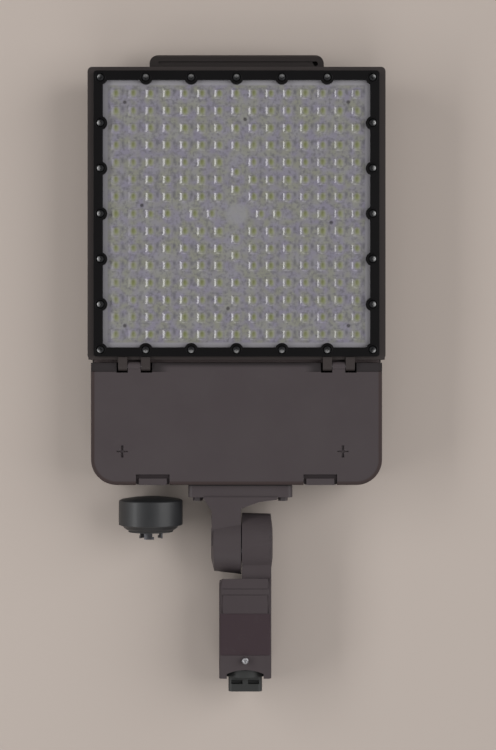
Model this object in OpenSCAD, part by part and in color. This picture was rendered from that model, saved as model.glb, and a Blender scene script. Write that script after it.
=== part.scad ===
// Shoebox area light, lying on its back with the lens up.
// X runs across the head, +Y points from the arm to the nose, z = 0 is the surface it lies on.

/* [Head] */
// Height of the head, from the fin tips to the top of the lens frame
head_h = 84; // [76:1:100]
// Housing rim left bare at each side of the lens frame
side_margin = 8.5; // [7:0.5:16]
// Housing rim left bare between the lens frame and the hinge side
lip_margin = 4; // [3:0.5:10]
// Housing rim left bare between the lens frame and the nose
nose_margin = 6; // [3:0.5:14]
// Corner radius of the head, seen from above
head_corner_r = 6; // [2:0.5:14]
// Thickness of the plate that carries the LED board
plate_t = 5; // [4:0.5:10]
// Number of cooling fins
fin_n = 27; // [11:2:31]
// Thickness of a fin
fin_t = 2.2; // [1.6:0.1:4]
// How far the fins rise off the surface at the nose
fin_rise = 28; // [10:1:32]
// Length over which the fins rise
fin_sweep = 150; // [80:5:220]

/* [Nose] */
// Width of the nose lip
nose_w = 234; // [160:2:300]
// How far the nose lip stands out of the head
nose_l = 23; // [12:1:34]
// Thickness of the nose lip
nose_t = 22; // [12:1:26]
// Width of the slot along the nose lip
nose_slot = 3; // [1.5:0.5:5]
// Distance from the head to the slot
nose_slot_y = 9.5; // [4:0.5:11]

/* [Lens frame] */
// Outer side of the square lens frame
frame_w = 378; // [376:1:400]
// Width of the frame's band
frame_band = 12; // [9:0.5:14]
// Height of the frame
frame_t = 7; // [5:0.5:10]
// Frame screws along one side, corners included
screw_n = 7; // [5:1:9]
// Radius of the round boss at each frame screw
boss_r = 8.9; // [7.5:0.1:9]
// Diameter of a frame screw's shank
frame_screw_d = 4; // [3:0.5:5]
// Diameter of a frame screw's head
frame_screw_head_d = 9.6; // [8:0.2:11]

/* [Lens and LEDs] */
// Thickness of the lens plate
lens_t = 3; // [2:0.5:5]
// How far the frame's band covers the lens plate
lens_cover = 3; // [2:0.5:4]
// Thickness of the lens gasket
lens_gasket_t = 2; // [1.5:0.5:3]
// Width of the lens gasket
lens_gasket_w = 6; // [4:0.5:7]
// Optics along one side of the array
optic_n = 15; // [11:2:15]
// Distance from the frame's band to the outermost optics
optic_margin = 17.4; // [10:0.2:30]
// Radius of one optic at its foot
optic_r = 8.4; // [6:0.1:9]
// Height of one optic
optic_h = 3.4; // [2:0.1:5]
// Radius of the smooth disc in the middle of the lens plate
centre_r = 13; // [8:1:16]
// Thickness of the LED board
board_t = 1.6; // [1:0.2:2.4]
// Side of one LED
led_w = 3.4; // [2:0.2:5]
// Height of one LED
led_h = 0.7; // [0.4:0.1:1.2]

/* [Driver box] */
// Width of the driver door
door_w = 386; // [370:1:395]
// Length of the driver door
door_l = 162; // [150:1:190]
// Thickness of the driver door
door_t = 4; // [3:0.5:6]
// Radius of the door's two outer corners
door_corner_r = 34; // [20:1:44]
// Bevel of the door's upper edge
door_edge = 1.8; // [0.8:0.2:2.6]
// Gap between the door and the head
door_gap = 4.3; // [3.5:0.1:6]
// Wall thickness of the driver box
wall_t = 3.5; // [2.5:0.5:5]
// Floor thickness of the driver box
floor_t = 4; // [3:0.5:6]
// How far the box floor is held off the surface
box_lift = 16; // [14:1:22]
// Depth of the dry end pocket that holds the latches
pocket_l = 13.5; // [12:0.5:18]
// Thickness of the door gasket
door_gasket_t = 1.8; // [1.2:0.2:3]

/* [Door hinges] */
// Distance of each hinge from the middle of the door
hinge_x = 135.5; // [100:0.5:150]
// Width of a hinge ear
ear_w = 12; // [8:0.5:16]
// Width of the hinge tongue on the door
tongue_w = 17; // [12:0.5:24]
// Radius of a hinge pin
pin_r = 2.95; // [2:0.05:3.5]
// Distance from the head to the hinge axis
hinge_back = 8.5; // [8:0.1:12]

/* [Latches] */
// Distance of each latch from the middle of the door
latch_x = 111; // [95:0.5:125]
// Width of the door notch that a latch fills
latch_notch_w = 44.5; // [34:0.5:54]
// Length of the door notch that a latch fills
latch_notch_l = 14; // [12:0.5:15.5]
// Gap round the latch inside its notch
latch_gap = 2.2; // [1:0.1:3]
// Radius of a latch pin
latch_pin_r = 1.95; // [1.5:0.05:2.5]

/* [Inside the driver box] */
// Length of a driver
driver_w = 120; // [100:1:124]
// Width of a driver
driver_l = 80; // [60:1:84]
// Height of a driver
driver_h = 36; // [28:1:44]
// Diameter of the twist-lock receptacle's face
receptacle_d = 58; // [50:1:64]
// How far the receptacle stands out of the box floor
receptacle_out = 13; // [8:0.5:13.5]
// Sideways place of the left captive door screw
door_screw_left_x = -151.5; // [-160:0.5:-140]
// Sideways place of the right captive door screw
door_screw_right_x = 141; // [134:0.5:160]
// Distance of the captive screws from the door's free edge
door_screw_y = 44.5; // [40:0.5:60]

/* [Arm] */
// Sideways place of the seam between the knuckle halves
seam_x = 6.5; // [-10:0.5:15]
// Width of the arm flange
flange_w = 139; // [120:1:160]
// Height of the arm flange
flange_h = 56; // [50:1:64]
// Thickness of the arm flange
flange_t = 15.5; // [10:0.5:20]
// Thickness of the flange gasket
flange_gasket_t = 2; // [1:0.5:4]
// Sideways distance between the flange bolts
flange_bolt_dx = 114; // [90:1:120]
// Upright distance between the flange bolts
flange_bolt_dz = 30; // [24:1:38]
// Diameter of a flange bolt
flange_bolt_d = 8; // [6:1:10]
// Distance from the flange to the tilt axis
knuckle_reach = 64; // [56:1:80]
// Radius of the knuckle discs
knuckle_r = 41; // [36:0.5:42]
// Width of the fixed knuckle half
fixed_half_w = 40; // [32:0.5:48]
// Width of the tilting knuckle half
tilt_half_w = 41; // [32:0.5:48]
// Gap between the knuckle halves
seam_gap = 1.3; // [1:0.1:3]
// Radius of the pivot bolt
pivot_r = 5.95; // [5:0.05:8]

/* [Slip fitter] */
// Gap between the fixed knuckle half and the sleeve's shoulder
shoulder_gap = 2.3; // [1:0.1:6]
// Outer width and height of the sleeve
sleeve_w = 69.4; // [68:0.2:76]
// Length of the sleeve
sleeve_l = 132.6; // [110:0.2:160]
// Sideways offset of the sleeve's axis from the knuckle seam
sleeve_offset = 5; // [0:0.5:10]
// Radius of the sleeve's long edges
sleeve_edge_r = 6; // [3:0.5:16]
// How far the sleeve's shoulder leans back beside the fixed half
shoulder_lean = 12; // [4:0.5:14]
// Chamfer of the shoulder's outer corner, seen from above
shoulder_corner = 6; // [2:0.5:9]
// Bore for the pole tenon, as a radius
tenon_r = 30.75; // [30.4:0.05:31]
// Depth of the tenon bore
tenon_l = 112; // [90:1:120]
// Diameter of the clamp screws
clamp_d = 8; // [6:1:10]
// How far the end plug stands out
plug_out = 19.6; // [12:0.2:30]
// Width of the end plug
plug_w = 45; // [36:1:54]

/* [Loose twist-lock cap] */
// Diameter of the cap
cap_d = 86; // [80:1:90]
// Height of the cap's straight wall
cap_wall_h = 33.6; // [26:0.2:42]
// Height of the cap's domed top
cap_dome_h = 4.7; // [3:0.1:8]
// Diameter of the cap's base
cap_base_d = 73; // [66:1:78]
// Height of the cap's base
cap_base_h = 7.2; // [6:0.1:12]
// How much narrower the cap's base is at its free end
cap_base_taper = 5.5; // [2:0.5:7]
// Length of the cap's blades
blade_l = 11.5; // [7:0.5:13]
// Sideways place of the cap, lying beside the arm
cap_x = -115.8; // [-130:0.2:-112]
// Gap between the box and the cap's domed top
cap_gap = 18; // [16:0.5:24]

/* [Hidden] */
$fn = 64;

bronze = [0.28, 0.255, 0.262];
black = [0.07, 0.07, 0.075];
zinc = [0.72, 0.72, 0.73];

eps = 0.5;          // overshoot of cuts and depth of joints inside one casting
run = 0.05;         // radial clearance of pins and shafts
clear = 0.3;        // gap between pieces that move past each other

// Heights
rim_z = head_h - frame_t;
lens_z = rim_z - lens_t;
ledge_z = lens_z - lens_gasket_t;
led_space = 1.6;                             // from the top of the LEDs to the lens plate
board_z = lens_z - led_space - led_h - board_t;
plate_z = board_z - plate_t;
door_top_z = rim_z + 1;
door_z = door_top_z - door_t;
wall_top_z = door_z - clear - door_gasket_t;
floor_z = box_lift + floor_t;
axis_z = knuckle_r + 1;                      // height of the tilt and sleeve axes

// Lengths along Y, chained from the nose to the plug and centred on the whole object
head_l = frame_w + lip_margin + nose_margin;
head_w = frame_w + 2 * side_margin;
overall_l = nose_l + head_l + door_gap + door_l - 0.5 + flange_gasket_t + flange_t
    + knuckle_reach + knuckle_r + shoulder_gap + sleeve_l + plug_out;
nose_y = overall_l / 2;
head_y1 = nose_y - nose_l;
lip_y = head_y1 - head_l;
frame_cy = lip_y + lip_margin + frame_w / 2;
hinge_y = lip_y - hinge_back;
hinge_z = door_z;
door_y1 = lip_y - door_gap;
door_y0 = door_y1 - door_l;
box_y0 = door_y0 + 0.5;
flange_y1 = box_y0 - flange_gasket_t;
flange_y0 = flange_y1 - flange_t;
knuckle_y = flange_y0 - knuckle_reach;
sleeve_y1 = knuckle_y - knuckle_r - shoulder_gap;
sleeve_y0 = sleeve_y1 - sleeve_l;
plug_y0 = sleeve_y0 - plug_out;

// Driver box
box_w = door_w - 2;
front_y1 = lip_y - 17.8;                     // outer face of the wall beside the hinges
front_y0 = front_y1 - wall_t;
seal_y0 = box_y0 + wall_t + pocket_l;        // wall between the driver space and the end pocket
seal_y1 = seal_y0 + wall_t;
room_cy = (front_y0 + seal_y1) / 2;

// Lens and LED pocket
lens_w = frame_w - 2 * frame_band + 2 * lens_cover;
recess_w = lens_w + 1;
pocket_w = lens_w - 2 * lens_gasket_w - 2;
board_w = pocket_w - 4;
optic_pitch = (frame_w - 2 * frame_band - 2 * optic_margin) / (optic_n - 1);
screw_edge = 9;                              // from the frame's outer side to its screws
screw_span = frame_w - 2 * screw_edge;
screw_pitch = screw_span / (screw_n - 1);
thread_l = rim_z - plate_z - 3;
screw_boss_r = frame_screw_d / 2 + 1.7;       // housing's boss round each screw, which the lens makes room for

// Hinges
ear_r = hinge_back - 1.9;
ear_x = tongue_w / 2 + 0.6 + ear_w / 2;      // from the hinge's middle to an ear's middle
notch_x = ear_x + ear_w / 2 + 2.5;
notch_l = 13.1;

// Latches
latch_w = latch_notch_w - 2 * latch_gap;
latch_head_l = latch_notch_l - latch_gap;
latch_pin_y = box_y0 + 7;
latch_pin_z = wall_top_z - 28;
latch_barrel_r = 4.5;
cheek_t = 4;
cheek_x = latch_notch_w / 2 + cheek_t / 2;

// Wiring between the box and the LED board
driver_x = box_w / 2 - wall_t - 4 - driver_w / 2;
driver_foot = 10;                            // foot at each end of a driver, with its screws
can_x0 = driver_x - driver_w / 2 + driver_foot;
wire_x = (ceil((can_x0 + 4) / optic_pitch - 0.5) + 0.5) * optic_pitch;   // between two columns of optics
wire_y = frame_cy - (optic_n - 1) / 2 * optic_pitch - 6;
wire_z = floor_z + driver_h / 2 + 2;
wire_bore_r = 5;
lead_r = 1.4;
lead_bend_r = 6;

// Receptacle
receptacle_y = room_cy;
receptacle_stem_r = 21;
receptacle_stem_h = 20;

// Arm
flange_x = seam_x - 1.5;
sleeve_x = seam_x + sleeve_offset;
tilt_x0 = seam_x + seam_gap / 2;
fixed_x1 = seam_x - seam_gap / 2;
washer_t = seam_gap - clear;
cable_r = 8;
cable_x = seam_x - 2 * cable_r;
cable_z = axis_z + cable_r / 2;
grommet_r = 4.5;                             // way through the arm grommet
pivot_head_r = pivot_r + 4.55;
pivot_seat_r = pivot_head_r + 2.5;
door_screw_reach = door_t + 11;
bolt_head_r = flange_bolt_d * 0.82;
clamp_reach = 7;                             // length of a headless clamp screw

// Cap
cap_y1 = box_y0 - cap_gap;
cap_wall_y1 = cap_y1 - cap_dome_h;
cap_wall_y0 = cap_wall_y1 - cap_wall_h;
cap_base_y0 = cap_wall_y0 - cap_base_h;
cap_z = cap_d / 2;

// ---- shared shapes ----

// A flat rectangle with round corners, centred on the origin.
module round_rect(w, l, r) {
    square([w - 2 * r, l], center = true);
    square([w, l - 2 * r], center = true);
    for (sx = [-1, 1], sy = [-1, 1])
        translate([sx * (w / 2 - r), sy * (l / 2 - r)])
            circle(r = r);
}

// A box given by its two corners.
module block(a, b) {
    translate(a)
        cube(b - a);
}

// A cylinder along X that starts at p.
module rod_x(p, r, l) {
    translate(p)
        rotate([0, 90, 0])
            cylinder(r = r, h = l);
}

// A cylinder along +Y that starts at p.
module rod_y(p, r, l) {
    translate(p)
        rotate([-90, 0, 0])
            cylinder(r = r, h = l);
}

// A screw that points down from the surface its head sits on.
module screw(head_r, head_h, shank_r, shank_l) {
    cylinder(r = head_r, h = head_h * 0.6);
    translate([0, 0, head_h * 0.6])
        cylinder(r1 = head_r, r2 = head_r * 0.62, h = head_h * 0.4);
    translate([0, 0, -shank_l])
        cylinder(r = shank_r, h = shank_l + 0.01);
}

// The places of the frame screws: all round the square, each once.
module at_frame_screws() {
    for (i = [0:screw_n - 1], j = [0:screw_n - 1])
        if (i == 0 || j == 0 || i == screw_n - 1 || j == screw_n - 1)
            translate([i * screw_pitch - screw_span / 2, frame_cy + j * screw_pitch - screw_span / 2, 0])
                children();
}

// The places of the optics, in pitches from the middle. The middle row and column make room
// for the smooth disc: the three optics nearest to it give way to two at 1.43 and 2.43 pitches.
half_n = (optic_n - 1) / 2;
arm_places = concat([1.43, 2.43], [for (k = [4:half_n]) k]);
optic_places = concat(
    [for (i = [-half_n:half_n], j = [-half_n:half_n]) if (i != 0 && j != 0) [i, j]],
    [for (k = arm_places, s = [-1, 1]) [s * k, 0]],
    [for (k = arm_places, s = [-1, 1]) [0, s * k]]
);
module at_optics() {
    for (p = optic_places)
        translate([p[0] * optic_pitch, frame_cy + p[1] * optic_pitch, 0])
            children();
}

// The places of the LED board's screws, halfway between optics.
board_screw_places = concat(
    [for (sx = [-1, 1], sy = [-1, 1]) [sx * (half_n - 0.5), sy * (half_n - 0.5)]],
    [[0.5, half_n - 1.5], [1.5 - half_n, 0.5], [half_n - 1.5, -0.5], [-0.5, 1.5 - half_n]]
);
module at_board_screws() {
    for (p = board_screw_places)
        translate([p[0] * optic_pitch, frame_cy + p[1] * optic_pitch, 0])
            children();
}

// ---- housing ----

module fins() {
    fin_pitch = (head_w - fin_t) / (fin_n - 1);
    sweep_r = (fin_sweep * fin_sweep + fin_rise * fin_rise) / (2 * fin_rise);
    intersection() {
        for (i = [0:fin_n - 1])
            translate([-head_w / 2 + i * fin_pitch, lip_y, 0])
                cube([fin_t, head_l, plate_z + eps]);
        union() {
            block([-head_w, lip_y - 1, 0], [head_w, head_y1 - fin_sweep, head_h]);
            rod_x([-head_w, head_y1 - fin_sweep, sweep_r], sweep_r, 2 * head_w);
        }
    }
}

module nose() {
    nose_z = fin_rise;
    round_r = nose_t / 2;
    lean = 14;
    difference() {
        intersection() {
            union() {
                block([-nose_w / 2, head_y1 - 4, nose_z], [nose_w / 2, nose_y - round_r, nose_z + nose_t]);
                rod_x([-nose_w / 2, nose_y - round_r, nose_z + round_r], round_r, nose_w);
            }
            translate([0, head_y1, 0])
                linear_extrude(head_h)
                    round_rect(nose_w, 2 * nose_l, lean);
        }
        // a slot that ends in a round hole at its right
        block([-nose_w / 2 + 12, head_y1 + nose_slot_y, nose_z + nose_t - 9],
              [nose_w / 2 - 12, head_y1 + nose_slot_y + nose_slot, head_h]);
        translate([nose_w / 2 - 11, head_y1 + nose_slot_y, nose_z + nose_t - 9])
            cylinder(r = 3.2, h = 10);
    }
}

module hinge_ear(x) {
    difference() {
        union() {
            rod_x([x - ear_w / 2, hinge_y, hinge_z], ear_r, ear_w);
            block([x - ear_w / 2, hinge_y, hinge_z - ear_r],
                  [x + ear_w / 2, lip_y + lip_margin - 0.6, hinge_z + ear_r]);
        }
        rod_x([x - ear_w, hinge_y, hinge_z], pin_r + run, 2 * ear_w);
    }
}

module head_casting() {
    mid_y = (lip_y + head_y1) / 2;
    difference() {
        union() {
            translate([0, mid_y, plate_z])
                linear_extrude(rim_z - plate_z)
                    round_rect(head_w, head_l, head_corner_r);
            fins();
            nose();
            block([-head_w / 2 + head_corner_r, head_y1 - 4, nose_top()], [head_w / 2 - head_corner_r, head_y1, rim_z - 1]);
            block([-box_w / 2, lip_y, box_lift], [box_w / 2, lip_y + 4, rim_z - 1]);
            block([wire_x - 10, lip_y, wire_z - 10], [wire_x + 10, wire_y + 10, plate_z + eps]);
        }
        difference() {
            translate([-recess_w / 2, frame_cy - recess_w / 2, ledge_z])
                cube([recess_w, recess_w, head_h]);
            at_frame_screws()
                translate([0, 0, ledge_z - 1])
                    cylinder(r = screw_boss_r, h = head_h, $fn = 32);
        }
        translate([-pocket_w / 2, frame_cy - pocket_w / 2, board_z])
            cube([pocket_w, pocket_w, head_h]);
        at_frame_screws()
            translate([0, 0, rim_z - thread_l - 1])
                cylinder(r = frame_screw_d / 2 + run, h = head_h, $fn = 24);
        at_board_screws()
            translate([0, 0, board_z - 4.5])
                cylinder(r = 1.5, h = 10, $fn = 24);
    }
}
function nose_top() = fin_rise + nose_t - 2;

// Outline of the driver box, seen from above, shrunk by d on the three outer sides.
module box_outline(d) {
    w = box_w - 2 * d;
    r = door_corner_r - 1 - d;
    y0 = box_y0 + d;
    translate([-w / 2, y0 + r])
        square([w, lip_y + 1 - y0 - r]);
    translate([-w / 2 + r, y0])
        square([w - 2 * r, r + 1]);
    for (s = [-1, 1])
        translate([s * (w / 2 - r), y0 + r])
            circle(r = r);
}

module latch_cheeks(x) {
    for (s = [-1, 1])
        difference() {
            block([x + s * cheek_x - cheek_t / 2, box_y0 + wall_t - eps, floor_z - eps],
                  [x + s * cheek_x + cheek_t / 2, seal_y0 + eps, latch_pin_z + 10]);
            rod_x([x + s * cheek_x - cheek_t, latch_pin_y, latch_pin_z], latch_pin_r + run, 2 * cheek_t);
        }
}

module driver_box() {
    difference() {
        translate([0, 0, box_lift])
            linear_extrude(wall_top_z - box_lift)
                box_outline(0);
        difference() {
            translate([0, 0, floor_z])
                linear_extrude(head_h)
                    box_outline(wall_t);
            block([-box_w, front_y0, 0], [box_w, front_y1, wall_top_z]);
            block([-box_w, seal_y0, 0], [box_w, seal_y1, wall_top_z]);
        }
        // the slot beside the hinges stays lower than the sweep of the door
        block([-box_w, front_y1, hinge_z - ear_r - 1.5], [box_w, lip_y, head_h]);
        for (s = [-1, 1])
            block([s * latch_x - latch_notch_w / 2, box_y0 - 1, latch_pin_z - 8],
                  [s * latch_x + latch_notch_w / 2, box_y0 + wall_t + 1, head_h]);
    }
    for (s = [-1, 1])
        latch_cheeks(s * latch_x);
    for (x = box_w * [-0.39, -0.16, 0.05, 0.39])
        block([x - 2, front_y1 - eps, floor_z - eps], [x + 2, lip_y + eps, hinge_z - ear_r - 4]);
    difference() {
        for (x = [door_screw_left_x, door_screw_right_x])
            translate([x, door_y0 + door_screw_y, floor_z - eps])
                cylinder(r = 6, h = wall_top_z - 3 - floor_z + eps);
        for (x = [door_screw_left_x, door_screw_right_x])
            translate([x, door_y0 + door_screw_y, door_z - 16])
                cylinder(r = 3.6, h = 20);
    }
    // sleeve round the wiring bore across the slot
    rod_y([wire_x, front_y1 - eps, wire_z], wire_bore_r + 3.5, lip_y - front_y1 + 2 * eps);
}

module driver_places() {
    for (s = [-1, 1])
        translate([s * driver_x, front_y0 - 6 - driver_l / 2, 0])
            children();
}

module at_driver_screws() {
    driver_places()
        for (sx = [-1, 1], sy = [-1, 1])
            translate([sx * (driver_w - driver_foot) / 2, sy * (driver_l / 2 - 12), 0])
                children();
}

module at_flange_bolts() {
    for (sx = [-1, 1], sz = [-1, 1])
        translate([flange_x + sx * flange_bolt_dx / 2, 0, axis_z + sz * flange_bolt_dz / 2])
            children();
}

surge_w = 32;
surge_x = box_w / 2 - wall_t - 56.5 - surge_w;
vent_x = surge_x - 16;
vent_y = seal_y1 + 14;
ground_x = -box_w / 4;
ground_y = seal_y1 + 14;

module housing() {
    color(bronze)
        difference() {
            union() {
                head_casting();
                driver_box();
                for (s = [-1, 1], t = [-1, 1])
                    hinge_ear(s * hinge_x + t * ear_x);
            }
            // wiring bore, from the driver space to the LED pocket
            rod_y([wire_x, front_y0 - 1, wire_z], wire_bore_r, wire_y - front_y0 + 1);
            translate([wire_x, wire_y, wire_z - wire_bore_r - 0.5])
                cylinder(r = wire_bore_r + 0.5, h = head_h);
            // seat of the duct grommet
            rod_y([wire_x, front_y0 - 1, wire_z], wire_bore_r + 1.5, 2.5);
            // receptacle hole
            translate([0, receptacle_y, box_lift - 1])
                cylinder(r = receptacle_stem_r + clear, h = floor_t + 2);
            // arm bolts and arm wiring
            at_flange_bolts()
                rod_y([0, box_y0 - 1, 0], flange_bolt_d / 2 + run, wall_t + 2);
            rod_y([cable_x, box_y0 - 1, cable_z], cable_r, seal_y1 - box_y0 + 2);
            // blind holes in the floor
            at_driver_screws()
                translate([0, 0, floor_z - 3.2])
                    cylinder(r = 1.95 + run, h = 4, $fn = 24);
            translate([ground_x, ground_y, floor_z - 3.2])
                cylinder(r = 2.45 + run, h = 4, $fn = 24);
            translate([vent_x, vent_y, box_lift - 1])
                cylinder(r = 5 + run, h = floor_t + 2);
        }
}

// ---- lens side ----

module lens_frame() {
    inner_w = frame_w - 2 * frame_band;
    color(black)
        difference() {
            union() {
                translate([0, frame_cy, rim_z])
                    linear_extrude(frame_t)
                        difference() {
                            round_rect(frame_w, frame_w, 4);
                            square([inner_w, inner_w], center = true);
                        }
                at_frame_screws()
                    translate([0, 0, rim_z])
                        cylinder(r = boss_r, h = frame_t);
            }
            at_frame_screws() {
                translate([0, 0, rim_z - 1])
                    cylinder(r = frame_screw_d / 2 + 0.3, h = head_h, $fn = 24);
                translate([0, 0, head_h - 3])
                    cylinder(r = frame_screw_head_d / 2 + 0.7, h = 5, $fn = 32);
            }
        }
}

module frame_screws() {
    color(zinc)
        at_frame_screws()
            translate([0, 0, head_h - 3])
                screw(frame_screw_head_d / 2, 3.4, frame_screw_d / 2, frame_t - 3 + thread_l, $fn = 24);
}

// Notches that keep the lens and its gasket clear of the housing's screw bosses.
module round_screw_bosses() {
    at_frame_screws()
        translate([0, 0, ledge_z - 1])
            cylinder(r = screw_boss_r + clear, h = head_h, $fn = 32);
}

module lens_gasket() {
    inner = lens_w - 2 * lens_gasket_w;
    color([0.12, 0.12, 0.12])
        difference() {
            translate([0, frame_cy, ledge_z])
                linear_extrude(lens_gasket_t)
                    difference() {
                        square([lens_w, lens_w], center = true);
                        square([inner, inner], center = true);
                    }
            round_screw_bosses();
        }
}

module lens_plate() {
    dome_r = (optic_r * optic_r + optic_h * optic_h) / (2 * optic_h);
    color([0.62, 0.62, 0.64, 0.6])
        union() {
            difference() {
                translate([-lens_w / 2, frame_cy - lens_w / 2, lens_z])
                    cube([lens_w, lens_w, lens_t]);
                round_screw_bosses();
            }
            translate([0, frame_cy, rim_z - eps])
                cylinder(r = centre_r, h = 1.2 + eps);
            intersection() {
                at_optics()
                    translate([0, 0, rim_z + optic_h - dome_r])
                        sphere(r = dome_r, $fn = 24);
                block([-lens_w / 2, frame_cy - lens_w / 2, rim_z - eps],
                      [lens_w / 2, frame_cy + lens_w / 2, head_h + 2]);
            }
        }
}

module led_board() {
    color([0.86, 0.87, 0.86])
        difference() {
            translate([-board_w / 2, frame_cy - board_w / 2, board_z])
                cube([board_w, board_w, board_t]);
            at_board_screws()
                translate([0, 0, board_z - 1])
                    cylinder(r = 1.7, h = 5, $fn = 24);
            translate([wire_x, wire_y, board_z - 1])
                cylinder(r = wire_bore_r, h = 5);
        }
}

module led_chips() {
    color([0.85, 0.83, 0.3])
        at_optics()
            translate([-led_w / 2, -led_w / 2, board_z + board_t])
                cube([led_w, led_w, led_h]);
}

module board_screws() {
    color(zinc)
        at_board_screws()
            translate([0, 0, board_z + board_t])
                screw(2.8, 1.6, 1.45, board_t + 4, $fn = 24);
}

module board_connector() {
    color([0.92, 0.92, 0.9])
        block([wire_x - 7.5, wire_y - 6.5, board_z + board_t], [wire_x + 7.5, wire_y + 6.5, lens_z - 0.6]);
}

// Two leads from the right-hand driver, through the duct and up to the connector on the board.
module led_leads() {
    color([0.75, 0.1, 0.1])
        for (s = [-1, 1])
            translate([wire_x + s * 2, 0, 0]) {
                rod_y([0, front_y0 - 6, wire_z], lead_r, wire_y - lead_bend_r - front_y0 + 6);
                translate([0, wire_y - lead_bend_r, wire_z + lead_bend_r])
                    rotate([0, 90, 0])
                        rotate_extrude(angle = 90)
                            translate([lead_bend_r, 0])
                                circle(r = lead_r);
                translate([0, wire_y, wire_z + lead_bend_r])
                    cylinder(r = lead_r, h = board_z + board_t - wire_z - lead_bend_r);
            }
}

module duct_grommet() {
    color([0.2, 0.2, 0.2])
        difference() {
            union() {
                rod_y([wire_x, front_y0 - 1.5, wire_z], wire_bore_r + 3, 1.5);
                rod_y([wire_x, front_y0 - 0.5, wire_z], wire_bore_r + 1.4, 2);
            }
            for (s = [-1, 1])
                rod_y([wire_x + s * 2, front_y0 - 3, wire_z], lead_r + run, 6);
        }
}

// ---- door, hinges and latches ----

module door() {
    r = door_corner_r;
    e = door_edge;
    cx = door_w / 2 - r;
    cy = door_y0 + r;
    color(bronze)
        difference() {
            union() {
                // full width down to the corners, then between them
                translate([0, door_y1, door_z])
                    rotate([90, 0, 0])
                        linear_extrude(door_y1 - cy)
                            bevelled_section(door_w, e);
                translate([-cx, door_y0 + door_w / 2, door_z])
                    rotate([90, 0, 90])
                        linear_extrude(2 * cx)
                            intersection() {
                                bevelled_section(door_w, e);
                                translate([-door_w / 2, 0])
                                    square([r + 1, door_t]);
                            }
                for (s = [-1, 1])
                    translate([s * cx, cy, door_z]) {
                        cylinder(r = r, h = door_t - e);
                        translate([0, 0, door_t - e])
                            cylinder(r1 = r, r2 = r - e, h = e);
                    }
                // locating rib inside the gasket
                rib();
            }
            for (s = [-1, 1]) {
                block([s * hinge_x - notch_x, door_y1 - notch_l, 0], [s * hinge_x + notch_x, door_y1 + 1, head_h]);
                block([s * latch_x - latch_notch_w / 2, door_y0 - 1, 0],
                      [s * latch_x + latch_notch_w / 2, door_y0 + latch_notch_l, head_h]);
            }
            for (x = [door_screw_left_x, door_screw_right_x])
                translate([x, door_y0 + door_screw_y, door_z - 1])
                    cylinder(r = 2.45, h = 10);
        }
    color(bronze)
        for (s = [-1, 1])
            hinge_tongue(s * hinge_x);
}

// Section through the door plate, w wide, its two upper edges bevelled by e.
module bevelled_section(w, e) {
    polygon([[-w / 2, 0], [w / 2, 0], [w / 2, door_t - e], [w / 2 - e, door_t], [e - w / 2, door_t], [-w / 2, door_t - e]]);
}

module rib() {
    rib_w = box_w - 2 * wall_t - 5;
    y0 = seal_y1 + 2.5;
    y1 = front_y0 - 4;
    translate([0, (y0 + y1) / 2, door_z - 2.5])
        linear_extrude(2.5 + eps)
            difference() {
                square([rib_w, y1 - y0], center = true);
                square([rib_w - 4, y1 - y0 - 4], center = true);
            }
}

module hinge_tongue(x) {
    barrel_r = ear_r - 0.6;
    difference() {
        union() {
            rod_x([x - tongue_w / 2, hinge_y, hinge_z], barrel_r, tongue_w);
            block([x - tongue_w / 2, door_y1 - notch_l - 2, door_z], [x + tongue_w / 2, hinge_y, door_top_z]);
        }
        rod_x([x - tongue_w, hinge_y, hinge_z], pin_r + run, 2 * tongue_w);
    }
}

module door_gasket() {
    w = box_w - 1;
    y0 = seal_y0 + 0.5;
    y1 = front_y1 - 0.5;
    band = wall_t - 1;
    color([0.1, 0.1, 0.1])
        translate([0, 0, wall_top_z])
            linear_extrude(door_gasket_t)
                intersection() {
                    // it follows the box's rounded corners
                    box_outline(0.5);
                    translate([0, (y0 + y1) / 2])
                        difference() {
                            square([w, y1 - y0], center = true);
                            square([w - 2 * band, y1 - y0 - 2 * band], center = true);
                        }
                }
}

module door_screws() {
    color(bronze)
        for (x = [door_screw_left_x, door_screw_right_x])
            translate([x, door_y0 + door_screw_y, door_top_z])
                difference() {
                    screw(4.6, 1.8, 2.4, door_screw_reach);
                    for (a = [0, 90])
                        rotate([0, 0, a])
                            translate([-2.8, -0.6, 0.5])
                                cube([5.6, 1.2, 4]);
                }
}

module hinge_pins() {
    span = 2 * ear_x + ear_w;
    color(zinc)
        for (s = [-1, 1])
            rod_x([s * hinge_x - span / 2, hinge_y, hinge_z], pin_r, span);
}

module latch(x) {
    head_y1 = door_y0 + latch_head_l;
    head_z = wall_top_z + 1;
    difference() {
        union() {
            block([x - latch_w / 2, door_y0, head_z], [x + latch_w / 2, head_y1, door_top_z]);
            block([x - latch_w / 2, door_y0 + 1, latch_pin_z], [x + latch_w / 2, door_y0 + 5, head_z + eps]);
            rod_x([x - latch_w / 2, latch_pin_y, latch_pin_z], latch_barrel_r, latch_w);
        }
        rod_x([x - latch_w, latch_pin_y, latch_pin_z], latch_pin_r + run, 2 * latch_w);
        rod_x([x - 6, latch_pin_y, latch_pin_z], latch_barrel_r + clear, 12);
        // finger groove along the outer face
        rod_x([x - latch_w, door_y0 - 1, head_z - 5], 3, 2 * latch_w);
    }
}

module latch_left() {
    color(bronze)
        latch(-latch_x);
}

module latch_right() {
    color(bronze)
        latch(latch_x);
}

module latch_pins() {
    span = latch_notch_w + 2 * cheek_t;
    color(zinc)
        for (s = [-1, 1])
            rod_x([s * latch_x - span / 2, latch_pin_y, latch_pin_z], latch_pin_r, span);
}

module latch_springs() {
    color(zinc)
        for (s = [-1, 1])
            difference() {
                rod_x([s * latch_x - 5, latch_pin_y, latch_pin_z], 4, 10);
                rod_x([s * latch_x - 6, latch_pin_y, latch_pin_z], latch_pin_r + run, 12);
            }
}

// ---- inside the driver box ----

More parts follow.
